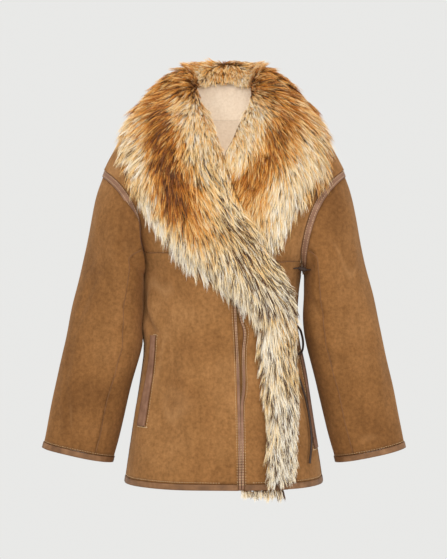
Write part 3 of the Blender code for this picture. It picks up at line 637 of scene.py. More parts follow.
def sleeve_middle(height):
    """The sleeve's own middle line: x and y at a height, for the left arm."""
    share = (height - ARM_TOP) / (ARM_FOOT - ARM_TOP)
    return [start + run * share for start, run in zip(ARM_AT_TOP, ARM_RUN)]


ARM_LEAN = 0.0058         # the right arm's cloth leans on the body below the underarm
ARM_FOLD = 0.011          # and folds forward over the lower part of its armhole strip


def sleeve_drape(points):
    """A sleeve's cloth with its creases and soft swells, still where it meets the armhole."""
    x, y, z = points.T
    side = np.sign(x.mean())
    middle_x, middle_y = sleeve_middle(z)
    out = unit(np.stack((x - side * middle_x, y - middle_y, 0 * z), axis=1))
    front = LEFT_ARM_FRONT if side > 0 else RIGHT_ARM_FRONT
    rear = LEFT_ARM_BACK if side > 0 else RIGHT_ARM_BACK
    depth = (crease_depth(x, z, front) * smooth_step(-out[:, 1], 0.0, 0.45)
             + crease_depth(x, z, rear) * smooth_step(out[:, 1], 0.0, 0.45))
    swell = SWELL * (np.sin(41 * z + 2.2 * out[:, 0] + side) + np.sin(29 * z - 3.1 * out[:, 1])
                     + 0.5 * np.sin(63 * z + 4 * out[:, 1] + 2 * side))
    heights = [row.height for row in reversed(ARMHOLE)]
    edge = np.interp(z, heights, [row.front for row in reversed(ARMHOLE)])
    free = smooth_step(np.abs(x) - edge, 0.012, 0.045)
    below = smooth_step(np.hypot(np.abs(x) - 0.148, z - UNDERARM), 0.016, 0.06)
    free = np.where(z > UNDERARM, free, below)
    seen_edge = 1 - 0.7 * smooth_step(np.abs(out[:, 0]), 0.70, 0.97)
    draped = points + out * ((swell - depth) * free * seen_edge)[:, None]
    if side < 0:
        inner = np.clip(out[:, 0], 0, 1) * np.exp(-(((z + 0.340) / 0.066) ** 2))
        draped[:, 0] += ARM_LEAN * inner
        over = smooth_step(-out[:, 1], -0.2, 0.6) * smooth_step(-z, 0.140, 0.205)
        over *= smooth_step(z, -0.345, -0.275)
        over *= np.exp(-(((np.abs(x) - edge - 0.012) / 0.022) ** 2))
        draped[:, 0] += ARM_FOLD * over
        draped[:, 1] -= ARM_FOLD * 1.5 * over
    return eased(draped)


def sleeve_centre(face):
    centre = face.calc_center_median()
    middle_x, middle_y = sleeve_middle(centre.z)
    return Vector((math.copysign(middle_x, centre.x), middle_y, centre.z))


for side in ("left", "right"):
    for name in ("top_sleeve_" + side, "under_sleeve_" + side):
        piece = shell(name, sleeve_drape, (sleeve_suede_painted_darker, cream_wool), sleeve_centre,
                      seam_dip=SEAM_DIP)
        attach(piece, "root")
        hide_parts(name)

# ======================================================================================
# Collar stand: the band of the same shearling that rises from the back neck, wool side in.
# It is sewn to the neck's edge, and the fur collar is folded over it.
# ======================================================================================
stand = shell("collar_stand", None, (cream_wool,))
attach(stand, "root")
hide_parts("collar_stand")

# ======================================================================================
# Leather trims: strips stitched over the armhole seams, bindings folded over the hem and
# the cuffs, the two pipes of the front seam and the pocket welts, all greyish brown nappa.
# ======================================================================================


def nappa(name, light, middle, dark):
    """Thin grained leather with a dull shine, rubbed paler here and there."""
    made, tree, shader = finish_of(name, 0.58, Specular_IOR_Level=0.3)
    wear = noise(tree, 45, 4, 0.6)
    dye(tree, shader, ramp(tree, wear, (0.3, dark), (0.55, middle), (0.75, light)))
    pebbles = wire(tree, "ShaderNodeTexVoronoi",
                   {"Vector": wire(tree, "ShaderNodeTexCoord").outputs["Object"], "Scale": 900.0})
    raise_grain(tree, shader, pebbles.outputs["Distance"], 0.0003, 0.5)
    return made


strip_nappa = nappa("mauve brown nappa", (158, 121, 98), (136, 99, 76), (112, 78, 58))
edge_nappa = nappa("tan nappa", (150, 110, 76), (128, 90, 58), (102, 70, 44))
PIPE_RIM, TRIM_RIM = 0.25, 0.55      # how hard the edges of the round pipes and the flat trims are

for name, drape in [(name, body_drape) for name in (
        "hem_binding_right", "hem_binding_band", "hem_binding_left", "hem_binding_back",
        "pocket_welt_right", "pocket_welt_left")] + [
        ("cuff_binding_left", sleeve_drape), ("cuff_binding_right", sleeve_drape),
        ("armhole_strip_left", None), ("armhole_strip_right", eased),
        ("piping_outer", body_drape), ("piping_inner", body_drape)]:
    rim = PIPE_RIM if name.startswith("piping") else TRIM_RIM
    if name.startswith("armhole"):
        piece = shell(name, drape, (strip_nappa, cream_wool), sleeve_centre, rim)
    else:
        piece = shell(name, drape, (edge_nappa if "binding" in name else strip_nappa,), rim=rim)
    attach(piece, "root")
    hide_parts(name)

Cut = namedtuple("Cut", "panel width length area trims")

# ======================================================================================
# Stitches: rows of tan thread beside the leather trims, with bar tacks at the pockets' and
# the slit's ends.  The paths of the panels' seams are laid on the cloth here too.
# ======================================================================================
HEM = -0.685
BINDING = 0.011
LAP_LIFT, LAP_START, LAP_FULL = 0.0078, -0.090, -0.030
PIPE_WIDTH = 0.0048
PipedSeam = namedtuple("PipedSeam", "height x slit")
PIPED_SEAM = table(PipedSeam,
    (-254, 13, 0.3), (-340, 16.5, 0.3), (-374, 18, 4), (-395, 19, 12), (-410, 19.8, 10),
    (-430, 20.5, 6.6), (-458, 21.3, 5.4), (-492, 22.3, 5.6), (-512, 22.8, 4), (-527, 23.2, 0.3),
    (-600, 24.8, 0.3), (-685, 26.2, 0.3))
# One stitch of each kind, how long, wide and high it is, and how far it is to the next:
TOPSTITCH = ((0.0036, 0.0011, 0.0011), 0.0048)
POCKET_TACK = ((0.0012, 0.0022, 0.0012), 0.0009)
SLIT_TACK = ((0.0010, 0.0032, 0.0010), 0.0008)


def surface_of(*names):
    """The finished faces of some pieces, to lay sewing on."""
    points, faces = [], []
    for name in names:
        mesh = bpy.data.objects[name + "_cloth"].data
        first = len(points)
        points += [vertex.co.copy() for vertex in mesh.vertices]
        faces += [[first + index for index in face.vertices] for face in mesh.polygons]
    return BVHTree.FromPolygons(points, faces)


def laid_on(surface, path, raised):
    """Each point of a path moved to the nearest place on a surface, with the way out there."""
    laid, ways = [], []
    for point in path:
        place, way, _, _ = surface.find_nearest(point)
        laid.append(place + way * raised)
        ways.append(way)
    return laid, ways


def evened(laid):
    """A laid path with each point and way out averaged over five neighbours on either side."""
    reach = 5
    result = []
    for rows in laid:
        spread = np.pad(as_points(rows), ((reach, reach), (0, 0)), mode="edge")
        result.append([Vector(spread[i:i + 2 * reach + 1].mean(axis=0))
                       for i in range(len(rows))])
    return result


def mesh_tree(name, **inputs):
    """A node tree from a mesh to a mesh, its more inputs, and a way to add nodes to it."""
    tree = bpy.data.node_groups.new(name, "GeometryNodeTree")
    for label, kind in (("Geometry", "Geometry"), *inputs.items()):
        tree.interface.new_socket(label.replace("_", " "), in_out="INPUT",
                                  socket_type="NodeSocket" + kind)
    tree.interface.new_socket("Geometry", in_out="OUTPUT", socket_type="NodeSocketGeometry")
    return tree, wire(tree, "NodeGroupInput").outputs, partial(wire, tree)


stitch_tree, given, add = mesh_tree("stitch row", Spacing="Float", Stitch_Size="Vector",
                                    Thread="Material")
line = add("GeometryNodeMeshToCurve", {"Mesh": given["Geometry"]})
holes = add("GeometryNodeResampleCurve",
            {"Curve": line.outputs[0], "Length": given["Spacing"]}, mode="LENGTH")
way_out = add("GeometryNodeInputNamedAttribute", {"Name": "way_out"}, data_type="FLOAT_VECTOR")
along = add("GeometryNodeInputTangent")
turned = add("FunctionNodeAxesToRotation",
             {"Primary Axis": along.outputs[0], "Secondary Axis": way_out.outputs[0]},
             primary_axis="X", secondary_axis="Z")
thread_bead = add("GeometryNodeMeshIcoSphere", {"Radius": 0.5, "Subdivisions": 1})
rows = add("GeometryNodeInstanceOnPoints",
           {"Points": holes.outputs[0], "Instance": thread_bead.outputs[0],
            "Rotation": turned.outputs[0], "Scale": given["Stitch Size"]})
real = add("GeometryNodeRealizeInstances", {"Geometry": rows.outputs[0]})
threaded = add("GeometryNodeSetMaterial",
               {"Geometry": real.outputs[0], "Material": given["Thread"]})
add("NodeGroupOutput", {"Geometry": threaded.outputs[0]})


def grown(name, mesh, tree, values):
    """The plain mesh that a node tree makes from a base mesh, with the tree's inputs set."""
    seed = linked(name + "_seed", mesh)
    nodes = seed.modifiers.new("grow", "NODES")
    nodes.node_group = tree
    for item in tree.interface.items_tree:
        if item.in_out == "INPUT" and item.name in values:
            nodes[item.identifier] = values[item.name]
    seen = seed.evaluated_get(bpy.context.evaluated_depsgraph_get())
    result = bpy.data.meshes.new_from_object(seen)
    seed.modifiers.remove(nodes)
    bpy.data.objects.remove(seed, do_unlink=True)
    return result


def mottled(name, roughness, scale, dark, light):
    """A plain finish, mottled finely between two colours."""
    made, tree, shader = finish_of(name, roughness)
    dye(tree, shader, ramp(tree, noise(tree, scale), (0.3, dark), (0.7, light)))
    return made


tan_thread = mottled("tan thread", 0.6, 300, (186, 150, 108), (216, 184, 142))
dark_thread = mottled("dark thread", 0.7, 300, (44, 28, 18), (70, 46, 30))


def stitches(name, rows, thread, size, spacing):
    """Rows of stitches, each along a path with its ways out, joined in one piece."""
    work = bmesh.new()
    way_layer = work.verts.layers.float_vector.new("way_out")
    for path, ways in rows:
        last = None
        for point, way in zip(path, ways):
            vert = work.verts.new(point)
            vert[way_layer] = way
            if last:
                work.edges.new((last, vert))
            last = vert
    row_of_stitches = grown(name, mesh_from(work, name), stitch_tree,
                            {"Spacing": spacing, "Stitch Size": size, "Thread": thread})
    piece = new_piece(name, row_of_stitches, thread)
    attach(piece, "root")


def on_side(path, side):
    """A path of the left arm as it is, or mirrored for the right one."""
    turned = -1 if side == "right" else 1
    return [Vector((turned * point.x, point.y, point.z)) for point in path]


body_panels = surface_of("back", "front_right_upper", "front_right_lower", "front_band",
                         "front_left_upper", "front_left_lower")
CLEAR = 0.002             # how far off the cloth a seam's path runs before it is laid down


def on_body(angle, height):
    """A place just off the body's cloth, the lap of the over front counted in."""
    point = body_point(angle, height)
    lap = LAP_LIFT * float(smooth_step(point.x, LAP_START, LAP_FULL)) if 0 < angle < 180 else 0
    return point + body_normal(angle, height) * (lap + CLEAR)


def body_row(steps, start, end, skipped=0):
    """Places just off the body's cloth, from one angle and height evenly to another."""
    return [on_body(*(a + (b - a) * i / steps for a, b in zip(start, end)))
            for i in range(skipped, steps + 1)]


THREAD_RAISE, SEAM_RAISE, TACK_RAISE = 0.0002, 0.0003, 0.0004      # off the face it lies on
TURNS = range(0, 361, 6)  # degrees, round an armhole or a cuff
STRIP_ROWS = (0.20, 0.80) # shares of the armhole strip's width where its two rows run
CUFF_ROW = 0.07           # from the cuff's binding up to its row, in rings of the sleeve
CHEST_SEAMS = ((180, 100, -0.254), (2, 62, -0.2705))    # from and to an angle, at a height
CHEST_SEAM_END = 0.1405   # it stops short of the armhole, this far from the mid-line
HEM_ROWS = ((92, 180), (180, 360), (0, 76))             # angles from edge to edge of a panel
ABOVE_BINDING = 0.003
PIPES_SEWN_FROM = -0.300  # above this the fur covers the pipes' stitches
BESIDE_PIPE = 0.0028
PIPE_RIMS = (0.0008, 0.0006)         # from a pipe's outer and inner edge to the rows on it
pipes = surface_of("piping_outer", "piping_inner")
sewn_rows, seam_lines = [], []
for side in ("left", "right"):
    strip = surface_of("armhole_strip_" + side)
    sleeve = surface_of("top_sleeve_" + side, "under_sleeve_" + side)
    for inset in STRIP_ROWS:
        edge = []
        for turn in TURNS:
            start, first_ring = armhole_point(turn), sleeve_point(1, turn)
            edge.append(start + (first_ring - start).normalized() * ARMHOLE_STRIP * inset)
        edge = [Vector(point) for point in eased(as_points(on_side(edge, side)))]
        sewn_rows.append(laid_on(strip, edge, THREAD_RAISE))
    round_cuff = [sleeve_point(CUFF_EDGE - CUFF_ROW, turn) for turn in TURNS]
    sewn_rows.append(laid_on(sleeve, on_side(round_cuff, side), THREAD_RAISE))
    for turn in (SLEEVE_SEAM, -SLEEVE_SEAM):
        seam = [sleeve_point(place / 20, turn) for place in range(7, 20 * CUFF_EDGE)]
        seam = [Vector(point) for point in sleeve_drape(as_points(on_side(seam, side)))]
        seam_lines.append(evened(laid_on(sleeve, seam, SEAM_RAISE)))
for first_angle, last_angle, height in CHEST_SEAMS:
    seam = body_row(90, (first_angle, height), (last_angle, height))
    seam = [point for point in seam if abs(point.x) < CHEST_SEAM_END]
    seam_lines.append(laid_on(body_panels, seam, SEAM_RAISE))
for angle in (0, 180):
    seam = body_row(120, (angle, UNDERARM), (angle, HEM + BINDING), skipped=2)
    seam_lines.append(laid_on(body_panels, seam, SEAM_RAISE))
for first_angle, last_angle in HEM_ROWS:
    height = HEM + BINDING + ABOVE_BINDING
    hem_row = body_row(60, (first_angle, height), (last_angle, height))
    sewn_rows.append(laid_on(body_panels, hem_row, THREAD_RAISE))
outer_rim, inner_rim = PIPE_RIMS
for steps, lowest, surface, offsets in (
        (80, HEM, body_panels, ((-BESIDE_PIPE, 0), (2 * PIPE_WIDTH + BESIDE_PIPE, 1))),
        (60, HEM + BINDING, pipes,
         ((outer_rim, 0), (PIPE_WIDTH - inner_rim, 0),
          (PIPE_WIDTH + inner_rim, 1), (2 * PIPE_WIDTH - outer_rim, 1)))):
    for beside, past_slit in offsets:
        pipe_row = []
        for i in range(steps + 1):
            height = PIPES_SEWN_FROM + (lowest - PIPES_SEWN_FROM) * i / steps
            _, x, slit = smooth_row(PIPED_SEAM, height)
            pipe_row.append(on_body(angle_at(x + past_slit * slit + beside, height), height))
        sewn_rows.append(laid_on(surface, pipe_row, THREAD_RAISE))

Welt = namedtuple("Welt", "height centre width")       # its centre is an angle round the body
RIGHT_WELT = (Welt(-0.407, 150.5, 0.015), Welt(-0.490, 150.0, 0.019), Welt(-0.574, 149.0, 0.023))
LEFT_WELT = (Welt(-0.440, 13.0, 0.016), Welt(-0.530, 14.5, 0.019), Welt(-0.618, 16.5, 0.022))
WELT_RADIUS = 0.150
WELT_MARGIN = 0.0022                 # from a welt's edge to the stitches round it
TACK_WIDTHS = (0.75, 1.35)           # of the tacks at its top and its foot, in its own width
tack_rows = []
for welt in (RIGHT_WELT, LEFT_WELT):
    for edge in (-1, 1):
        row = []
        for i in range(41):
            height = welt[0].height + (welt[-1].height - welt[0].height) * i / 40
            _, centre, width = smooth_row(welt, height)
            half = math.degrees((width / 2 + WELT_MARGIN) / WELT_RADIUS)
            row.append(on_body(centre + edge * half, height))
        sewn_rows.append(laid_on(body_panels, row, THREAD_RAISE))
    for end, reach in zip((welt[0], welt[-1]), TACK_WIDTHS):
        half = math.degrees(end.width / 2 / WELT_RADIUS) * reach
        height = end.height + (-WELT_MARGIN if end is welt[-1] else WELT_MARGIN)
        tack = body_row(10, (end.centre - half, height), (end.centre + half, height))
        tack_rows.append(laid_on(body_panels, tack, TACK_RAISE))
stitches("topstitching", sewn_rows, tan_thread, *TOPSTITCH)
stitches("pocket_tacks", tack_rows, tan_thread, *POCKET_TACK)
SLIT_X, SLIT_FOOT = 0.0232, -0.529
SLIT_TACK_FROM, SLIT_TACK_SPAN = 0.4, 1.3               # in widths of a pipe
slit_end = []
for i in range(7):
    across_pipes = SLIT_TACK_FROM + SLIT_TACK_SPAN * i / 6
    slit_end.append(on_body(angle_at(SLIT_X + PIPE_WIDTH * across_pipes, SLIT_FOOT), SLIT_FOOT))
stitches("slit_tack", [laid_on(pipes, slit_end, TACK_RAISE)], dark_thread, *SLIT_TACK)

# ======================================================================================
# Underarm tie: a short end of the same leather thong, tied in front round the lower end of
# the left armhole strip.  Its ends lie on the cloth, under a wrap and a knot.
# ======================================================================================
UNDERARM_TIE_HEIGHT = -0.2835
UNDERARM_TIE_ENDS = (0.129, 0.161)
TIE_RAISE = 0.0020        # off the cloth
TIE_WAVE, TIE_WAVES = 0.0016, 150    # it waves up and down this far, by this turn to a metre
left_side = surface_of("front_left_upper", "front_left_lower", "top_sleeve_left",
                       "under_sleeve_left", "armhole_strip_left")
tie_ends = [left_side.ray_cast(Vector((x, -0.3, UNDERARM_TIE_HEIGHT)), Vector((0, 1, 0)))[0]
            for x in UNDERARM_TIE_ENDS]
for label, start, end, width in (("ends", 0.0, 1.0, 0.0026), ("wrap", 0.26, 0.76, 0.0056),
                                 ("knot", 0.36, 0.68, 0.0086)):
    path = [tie_ends[0].lerp(tie_ends[1], start + (end - start) * i / 16) for i in range(17)]
    for point in path:
        point.y -= TIE_RAISE
        point.z += TIE_WAVE * math.sin(TIE_WAVES * point.x)
    tied = tube("underarm_tie_" + label, path, thong_leather, width, width * 0.8, 8,
                lambda point: Vector((0, -1, 0)))
    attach(tied, "root")

# ======================================================================================
# Seam lines: the dark lines where two panels of shearling are joined, down the sleeves and
# the sides and across the fronts; their dark colour is partly the seams' own edges and partly
# painted shade of the seams' grooves.  They are laid along the paths found above.
# ======================================================================================
SEAM_WIDTH = 0.0017
# The seam's dark colour is partly its own and partly painted shade of its groove.
seam_shade = mottled("seam edge with painted groove shade", 0.95, 120, (112, 75, 43), (131, 89, 54))
for index, (path, ways) in enumerate(seam_lines):
    lookup = {tuple(point): way for point, way in zip(path, ways)}
    seam = tube("seam_line_%d" % (index + 1), path, seam_shade, SEAM_WIDTH, SEAM_WIDTH * 0.6, 6,
                lambda point: lookup[tuple(point)])
    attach(seam, "root")

# ======================================================================================
# Fur collar: long fox-like fur on its own skin, over the back neck and shoulders and down
# both fronts, where the over front's lapel crosses the other.  Soft dense underfur fills
# it out, and locks of long hair lie over that, ginger and cream with dark patches.
# ======================================================================================
NAPE_DROP = 0.008
FALL_SIDE, FALL_BACK = -0.036, -0.108
COLLAR_STEPS = 28
STATIONS_PER_ROW = 4
SHOULDER_BLEND = 2.5
FUR_LIFT = 0.0025
Loop = namedtuple("Loop", "side_x side_z back_y back_z")
STAND = table(Loop,               # rings of the collar stand
    (71, 40, 60, 42), (58, 62, 55, 76))
CREST = table(Loop,               # the fur's outer face, neck to outer edge
    (50, 65, 46, 84), (60, 91, 56, 114), (84, 109, 80, 130), (119, 92, 112, 110),
    (145, 56, 137, 58), (170, 27, 151, 0), (193, 0, 154, -52), (206, -30, 144, -94))
CREST_TOP = 0.100         # rows that rise over this stay high to the sides of the neck
LAPEL_BULGE = (0.30, 0.72, 0.94, 1.0, 0.97, 0.80, 0.45)
Lapel = namedtuple("Lapel", "inner_x inner_y inner_z skin_x outer_x outer_z full")
OVER_LAPEL = table(Lapel,
    (-50, 0, 65, -88, -199, -36, 44), (-45, -34, 30, -73, -196, -86, 43),
    (-28, -68, -6, -52, -186, -122, 41), (-14, -98, -42, -34, -172, -158, 38),
    (0, -130, -84, -14, -138, -204, 36), (17, -146, -130, 5, -95, -262, 35),
    (32, -155, -172, 19, -60, -292, 34), (60, -157, -228, 45, -28, -318, 33),
    (92, -144, -272, 77, 12, -352, 32), (116, -122, -312, 98, 34, -388, 31),
    (126, -107, -346, 106, 46, -405, 30))
UNDER_LAPEL = table(Lapel,
    (50, 0, 65, 88, 199, -36, 44), (49, -34, 34, 74, 197, -78, 43),
    (35, -64, 0, 56, 194, -106, 40), (20, -92, -34, 38, 186, -130, 36),
    (12, -124, -84, 18, 160, -146, 33), (29, -138, -132, 31, 138, -184, 29),
    (45, -146, -174, 46, 124, -212, 26), (72, -146, -226, 72, 102, -240, 20))
FRONT_FUR = table(Lapel,
    (126, -107, -347, 106, 46, -406, 30), (128, -101, -395, 108, 50, -432, 30),
    (128, -107, -445, 109, 56, -470, 30), (128, -118, -500, 110, 59, -516, 30),
    (128, -130, -560, 111, 64, -572, 29), (128, -140, -622, 111, 64, -632, 28),
    (128, -143, -660, 112, 65, -676, 26), (125, -144, -676, 110, 68, -692, 20))
TUCK = 0.015              # how far the under lapel's fur runs below the over lapel's
TUCK_ROWS = (3.0, 4.2)    # from which place along it to which it comes in


def lap_lift(x, height):
    lap = LAP_LIFT * float(smooth_step(x, LAP_START, LAP_FULL))
    return lap * float(smooth_step(-height, 0.010, 0.080))


def loop_point(row, angle):
    turn = math.radians(angle)
    rise = abs(math.sin(turn)) ** (1 if row.back_z > CREST_TOP else 2)
    height = row.side_z + (row.back_z - row.side_z) * rise
    return Vector((row.side_x * math.cos(turn), -row.back_y * math.sin(turn), height))


def collar_section(angle):
    """Across the collar at an angle, neck to outer edge: its hair's reach and its skin."""
    reach = [loop_point(row, angle) for row in CREST]
    top = NECK_HEIGHT - NAPE_DROP * math.sin(math.radians(angle)) ** 2
    fall = FALL_SIDE + (FALL_BACK - FALL_SIDE) * math.sin(math.radians(angle)) ** 2
    skin = [loop_point(STAND[1], angle), loop_point(STAND[1], angle), loop_point(STAND[0], angle)]
    for step in range(5):
        height = top + (fall - top) * step / 4
        skin.append(body_point(angle, height) + body_normal(angle, height) * FUR_LIFT)
    return reach, skin


def lapel_section(rows, place, laps, from_shoulder):
    """Across a front's fur at a place down it, inner to outer edge: hair's reach and skin."""
    row = Lapel(*smooth_between(rows, place))
    side = math.copysign(1, row.outer_x - row.inner_x)
    tuck = 0 if laps else TUCK * float(smooth_step(place, *TUCK_ROWS))
    inner = Vector((row.inner_x - tuck, row.inner_y, row.inner_z))
    top = min(row.inner_z, NECK_HEIGHT)
    outer_angle = angle_at(row.outer_x, row.outer_z)
    start_angle = angle_at(row.skin_x, top)
    steps = len(LAPEL_BULGE) - 1
    skin, reach = [], []
    for step in range(steps, -1, -1):
        angle = outer_angle + (start_angle - outer_angle) * step / steps
        height = row.outer_z + (top - row.outer_z) * step / steps
        normal = body_normal(angle, height)
        point = body_point(angle, height)
        point += normal * ((lap_lift(point.x, height) if laps else 0) + FUR_LIFT)
        skin.append(point)
        reach.append(point + normal * row.full * LAPEL_BULGE[step])
    blend = float(smooth_step(place, 0, SHOULDER_BLEND)) if from_shoulder else 1
    if blend < 1:
        shift = inner - Vector((side * CREST[0].side_x, 0, CREST[0].side_z))
        for index, crest in enumerate(CREST[1:]):
            own = Vector((side * crest.side_x, 0, crest.side_z)) + shift * (1 - index / steps)
            reach[index] = own.lerp(reach[index], blend)
    return [inner] + reach, [skin[0]] + skin


Patch = namedtuple("Patch", "x z to_x to_z reach shade grey")
FUR_PATCHES = table(Patch,         # in front; a shade of 0 is darkest, and 100 palest
    (-130, 100, -50, 112, 24, 36, 10), (-82, 66, -60, 58, 20, 30, 44),
    (-110, 60, -125, 30, 20, 30, 12), (-148, 40, -180, -30, 30, 72, 2),
    (-106, 12, -90, -150, 20, 12, 7), (-86, -160, -64, -190, 14, 38, 20),
    (-70, 30, -42, -45, 20, 72, 3), (-165, -50, -150, -80, 20, 82, 12),
    (-176, -82, -160, -110, 13, 30, 45), (-52, -50, 10, -165, 20, 66, 36),
    (10, -165, 100, -275, 24, 68, 46), (-20, -190, 50, -270, 22, 50, 46),
    (0, -235, 62, -318, 24, 78, 38), (-165, -135, -95, -235, 25, 90, 20),
    (-95, -235, 0, -330, 28, 90, 24), (20, -330, 50, -385, 30, 95, 10),
    (60, -290, 115, -330, 20, 80, 45), (50, 112, 120, 100, 22, 44, 10),
    (62, 78, 92, 36, 18, 30, 46), (105, 55, 130, 20, 18, 32, 10), (135, 45, 192, -30, 28, 67, 2),
    (100, -5, 60, -120, 17, 27, 8), (50, -100, 30, -165, 17, 33, 12),
    (55, 20, 26, -70, 18, 76, 3), (150, -60, 120, -110, 26, 80, 8),
    (120, -140, 90, -215, 26, 88, 10), (165, -120, 155, -140, 11, 30, 55),
    (70, -130, 70, -180, 18, 58, 6), (95, -420, 100, -660, 40, 84, 31),
    (50, -400, 62, -500, 16, 38, 34), (68, -500, 85, -580, 12, 58, 40),
    (100, -400, 112, -470, 12, 52, 42), (110, -520, 105, -660, 14, 100, 26),
    (80, -380, 88, -440, 12, 94, 20), shares=2)
BACK_PATCHES = table(Patch,
    (-34, 82, 36, 82, 12.5, 92, 2), (-60, 112, -30, 116, 18, 46, 8),
    (-14, 116, 14, 116, 18, 66, 2), (28, 116, 62, 112, 20, 57, 4), (0, 80, 4, -30, 26, 24, 22),
    (-90, 70, -110, 10, 26, 42, 8), (86, 70, 112, 6, 26, 40, 8),
    (-140, 40, -160, -20, 22, 26, 20), (142, 40, 158, -20, 22, 27, 20),
    (-170, -50, -70, -100, 24, 84, 12), (170, -50, 70, -100, 24, 84, 12),
    (-70, -105, 70, -108, 22, 90, 14), (-60, 20, -66, -50, 20, 60, 6),
    (60, 20, 62, -50, 20, 62, 6), shares=2)
FUR_SHADE, FUR_GREY = 0.50, 0.08     # away from the patches
PLAIN_WEIGHT = 0.18                  # how much that counts, where 1 is a patch's middle


def fur_colouring(points):
    """Shade and greyness of the fur at each point, from the patches near it."""
    x, y, z = points.T
    result = []
    for patches in (FUR_PATCHES, BACK_PATCHES):
        weight = np.full(len(points), PLAIN_WEIGHT)
        shade, grey = weight * FUR_SHADE, weight * FUR_GREY
        for row in patches:
            run = np.array((row.to_x - row.x, row.to_z - row.z))
            along = np.clip(((x - row.x) * run[0] + (z - row.z) * run[1]) / run.dot(run), 0, 1)
            gap = np.hypot(x - row.x - along * run[0], z - row.z - along * run[1])
            near = np.exp(-(gap / row.reach) ** 2)
            weight = weight + near
            shade = shade + near * row.shade
            grey = grey + near * row.grey
        result.append(np.stack((shade, grey)) / weight)
    return np.where(y < 0, *result)


def across_row(points, end, columns):
    """Evenly spaced points along a smooth line, up to a distance short of its end."""
    fine = [Vector(smooth_between(points, i / 6)) for i in range(6 * (len(points) - 1) + 1)]
    lengths = np.cumsum([0] + [(b - a).length for a, b in zip(fine, fine[1:])])
    wanted = np.linspace(0.0, max(lengths[-1] - end, 0.01), columns + 1)
    values = as_points(fine)
    return np.stack([np.interp(wanted, lengths, values[:, k]) for k in range(3)], axis=1)


def underfur_grid(sections, depth, outer_insets, columns):
    """Points of the underfur's face, row by row, a share of the way from skin to hair tips."""
    face, skin = [], []
    across = np.linspace(0, 1, columns + 1)[:, None]
    share = depth + (0.97 - depth) * (1 - smooth_step(across, 0.0, 0.34))    # full at the neck
    share = share * (1 - 0.6 * smooth_step(across, 0.8, 1.0))                # thin at the edge
    for index, (reach, base) in enumerate(sections):
        inset = outer_insets(index / (len(sections) - 1))
        tips = across_row(reach, inset, columns)
        roots = across_row(base, inset, columns)
        face.append(roots + (tips - roots) * share)
        skin.append(roots)
    return np.array(face), np.array(skin)


Stroke = namedtuple("Stroke", "x z way_x way_z")
FRONT_STROKES = table(Stroke,      # how the hair is combed, seen from the front
    (-45, 95, -85, -30), (-102, 86, -90, -45), (-140, 48, -75, -66), (-188, -10, -60, -80),
    (-178, -60, -38, -92), (-168, -124, -6, -100), (-121, 38, -60, -80), (-93, 0, -30, -95),
    (-112, -57, -14, -100), (-121, -133, 2, -100), (-74, 38, -10, -100), (-45, 19, 36, -94),
    (-64, -38, 36, -93), (-17, -95, 60, -80), (-83, -114, 22, -97), (-45, -152, 50, -86),
    (30, -171, 80, -60), (60, -215, 82, -57), (88, -252, 78, -62), (-102, -209, 4, -100),
    (-45, -266, 8, -100), (2, -228, 45, -90), (30, -304, 14, -100), (11, -342, 2, -100),
    (97, -285, 80, -60), (125, -332, 66, -75), (59, -361, 6, -100), (78, -437, 4, -100),
    (68, -570, -10, -100), (106, -627, 6, -100), (125, -532, 16, -100), (45, 95, 85, -30),
    (78, 86, 85, -50), (125, 48, 70, -70), (173, -19, 55, -84), (192, -76, 30, -95),
    (144, -76, 10, -100), (87, 0, -10, -100), (50, 30, 6, -100), (38, -19, -10, -100),
    (16, -90, -55, -83), (40, -150, -60, -80), (66, -215, -60, -80), (72, -133, -20, -98),
    (116, -190, -6, -100), (163, -133, 6, -100), shares=2)
BACK_STROKES = table(Stroke,
    (14, 112, 90, -60), (-14, 112, -70, -60), (36, 112, 90, -70), (-36, 112, -90, -70),
    (62, 105, 100, -75), (-62, 105, -100, -75), (0, 80, 2, -100), (0, -60, 4, -100),
    (90, 50, 50, -86), (-90, 50, -50, -86), (150, 20, 72, -70), (-150, 20, -72, -70),
    (120, -60, 26, -96), (-120, -60, -26, -96), (190, -30, 50, -86), (-190, -30, -50, -86),
    shares=2)
STROKE_REACH = 0.030
OVER_THE_CREST = 0.42     # how much the hair also follows the fur's own way out from the neck


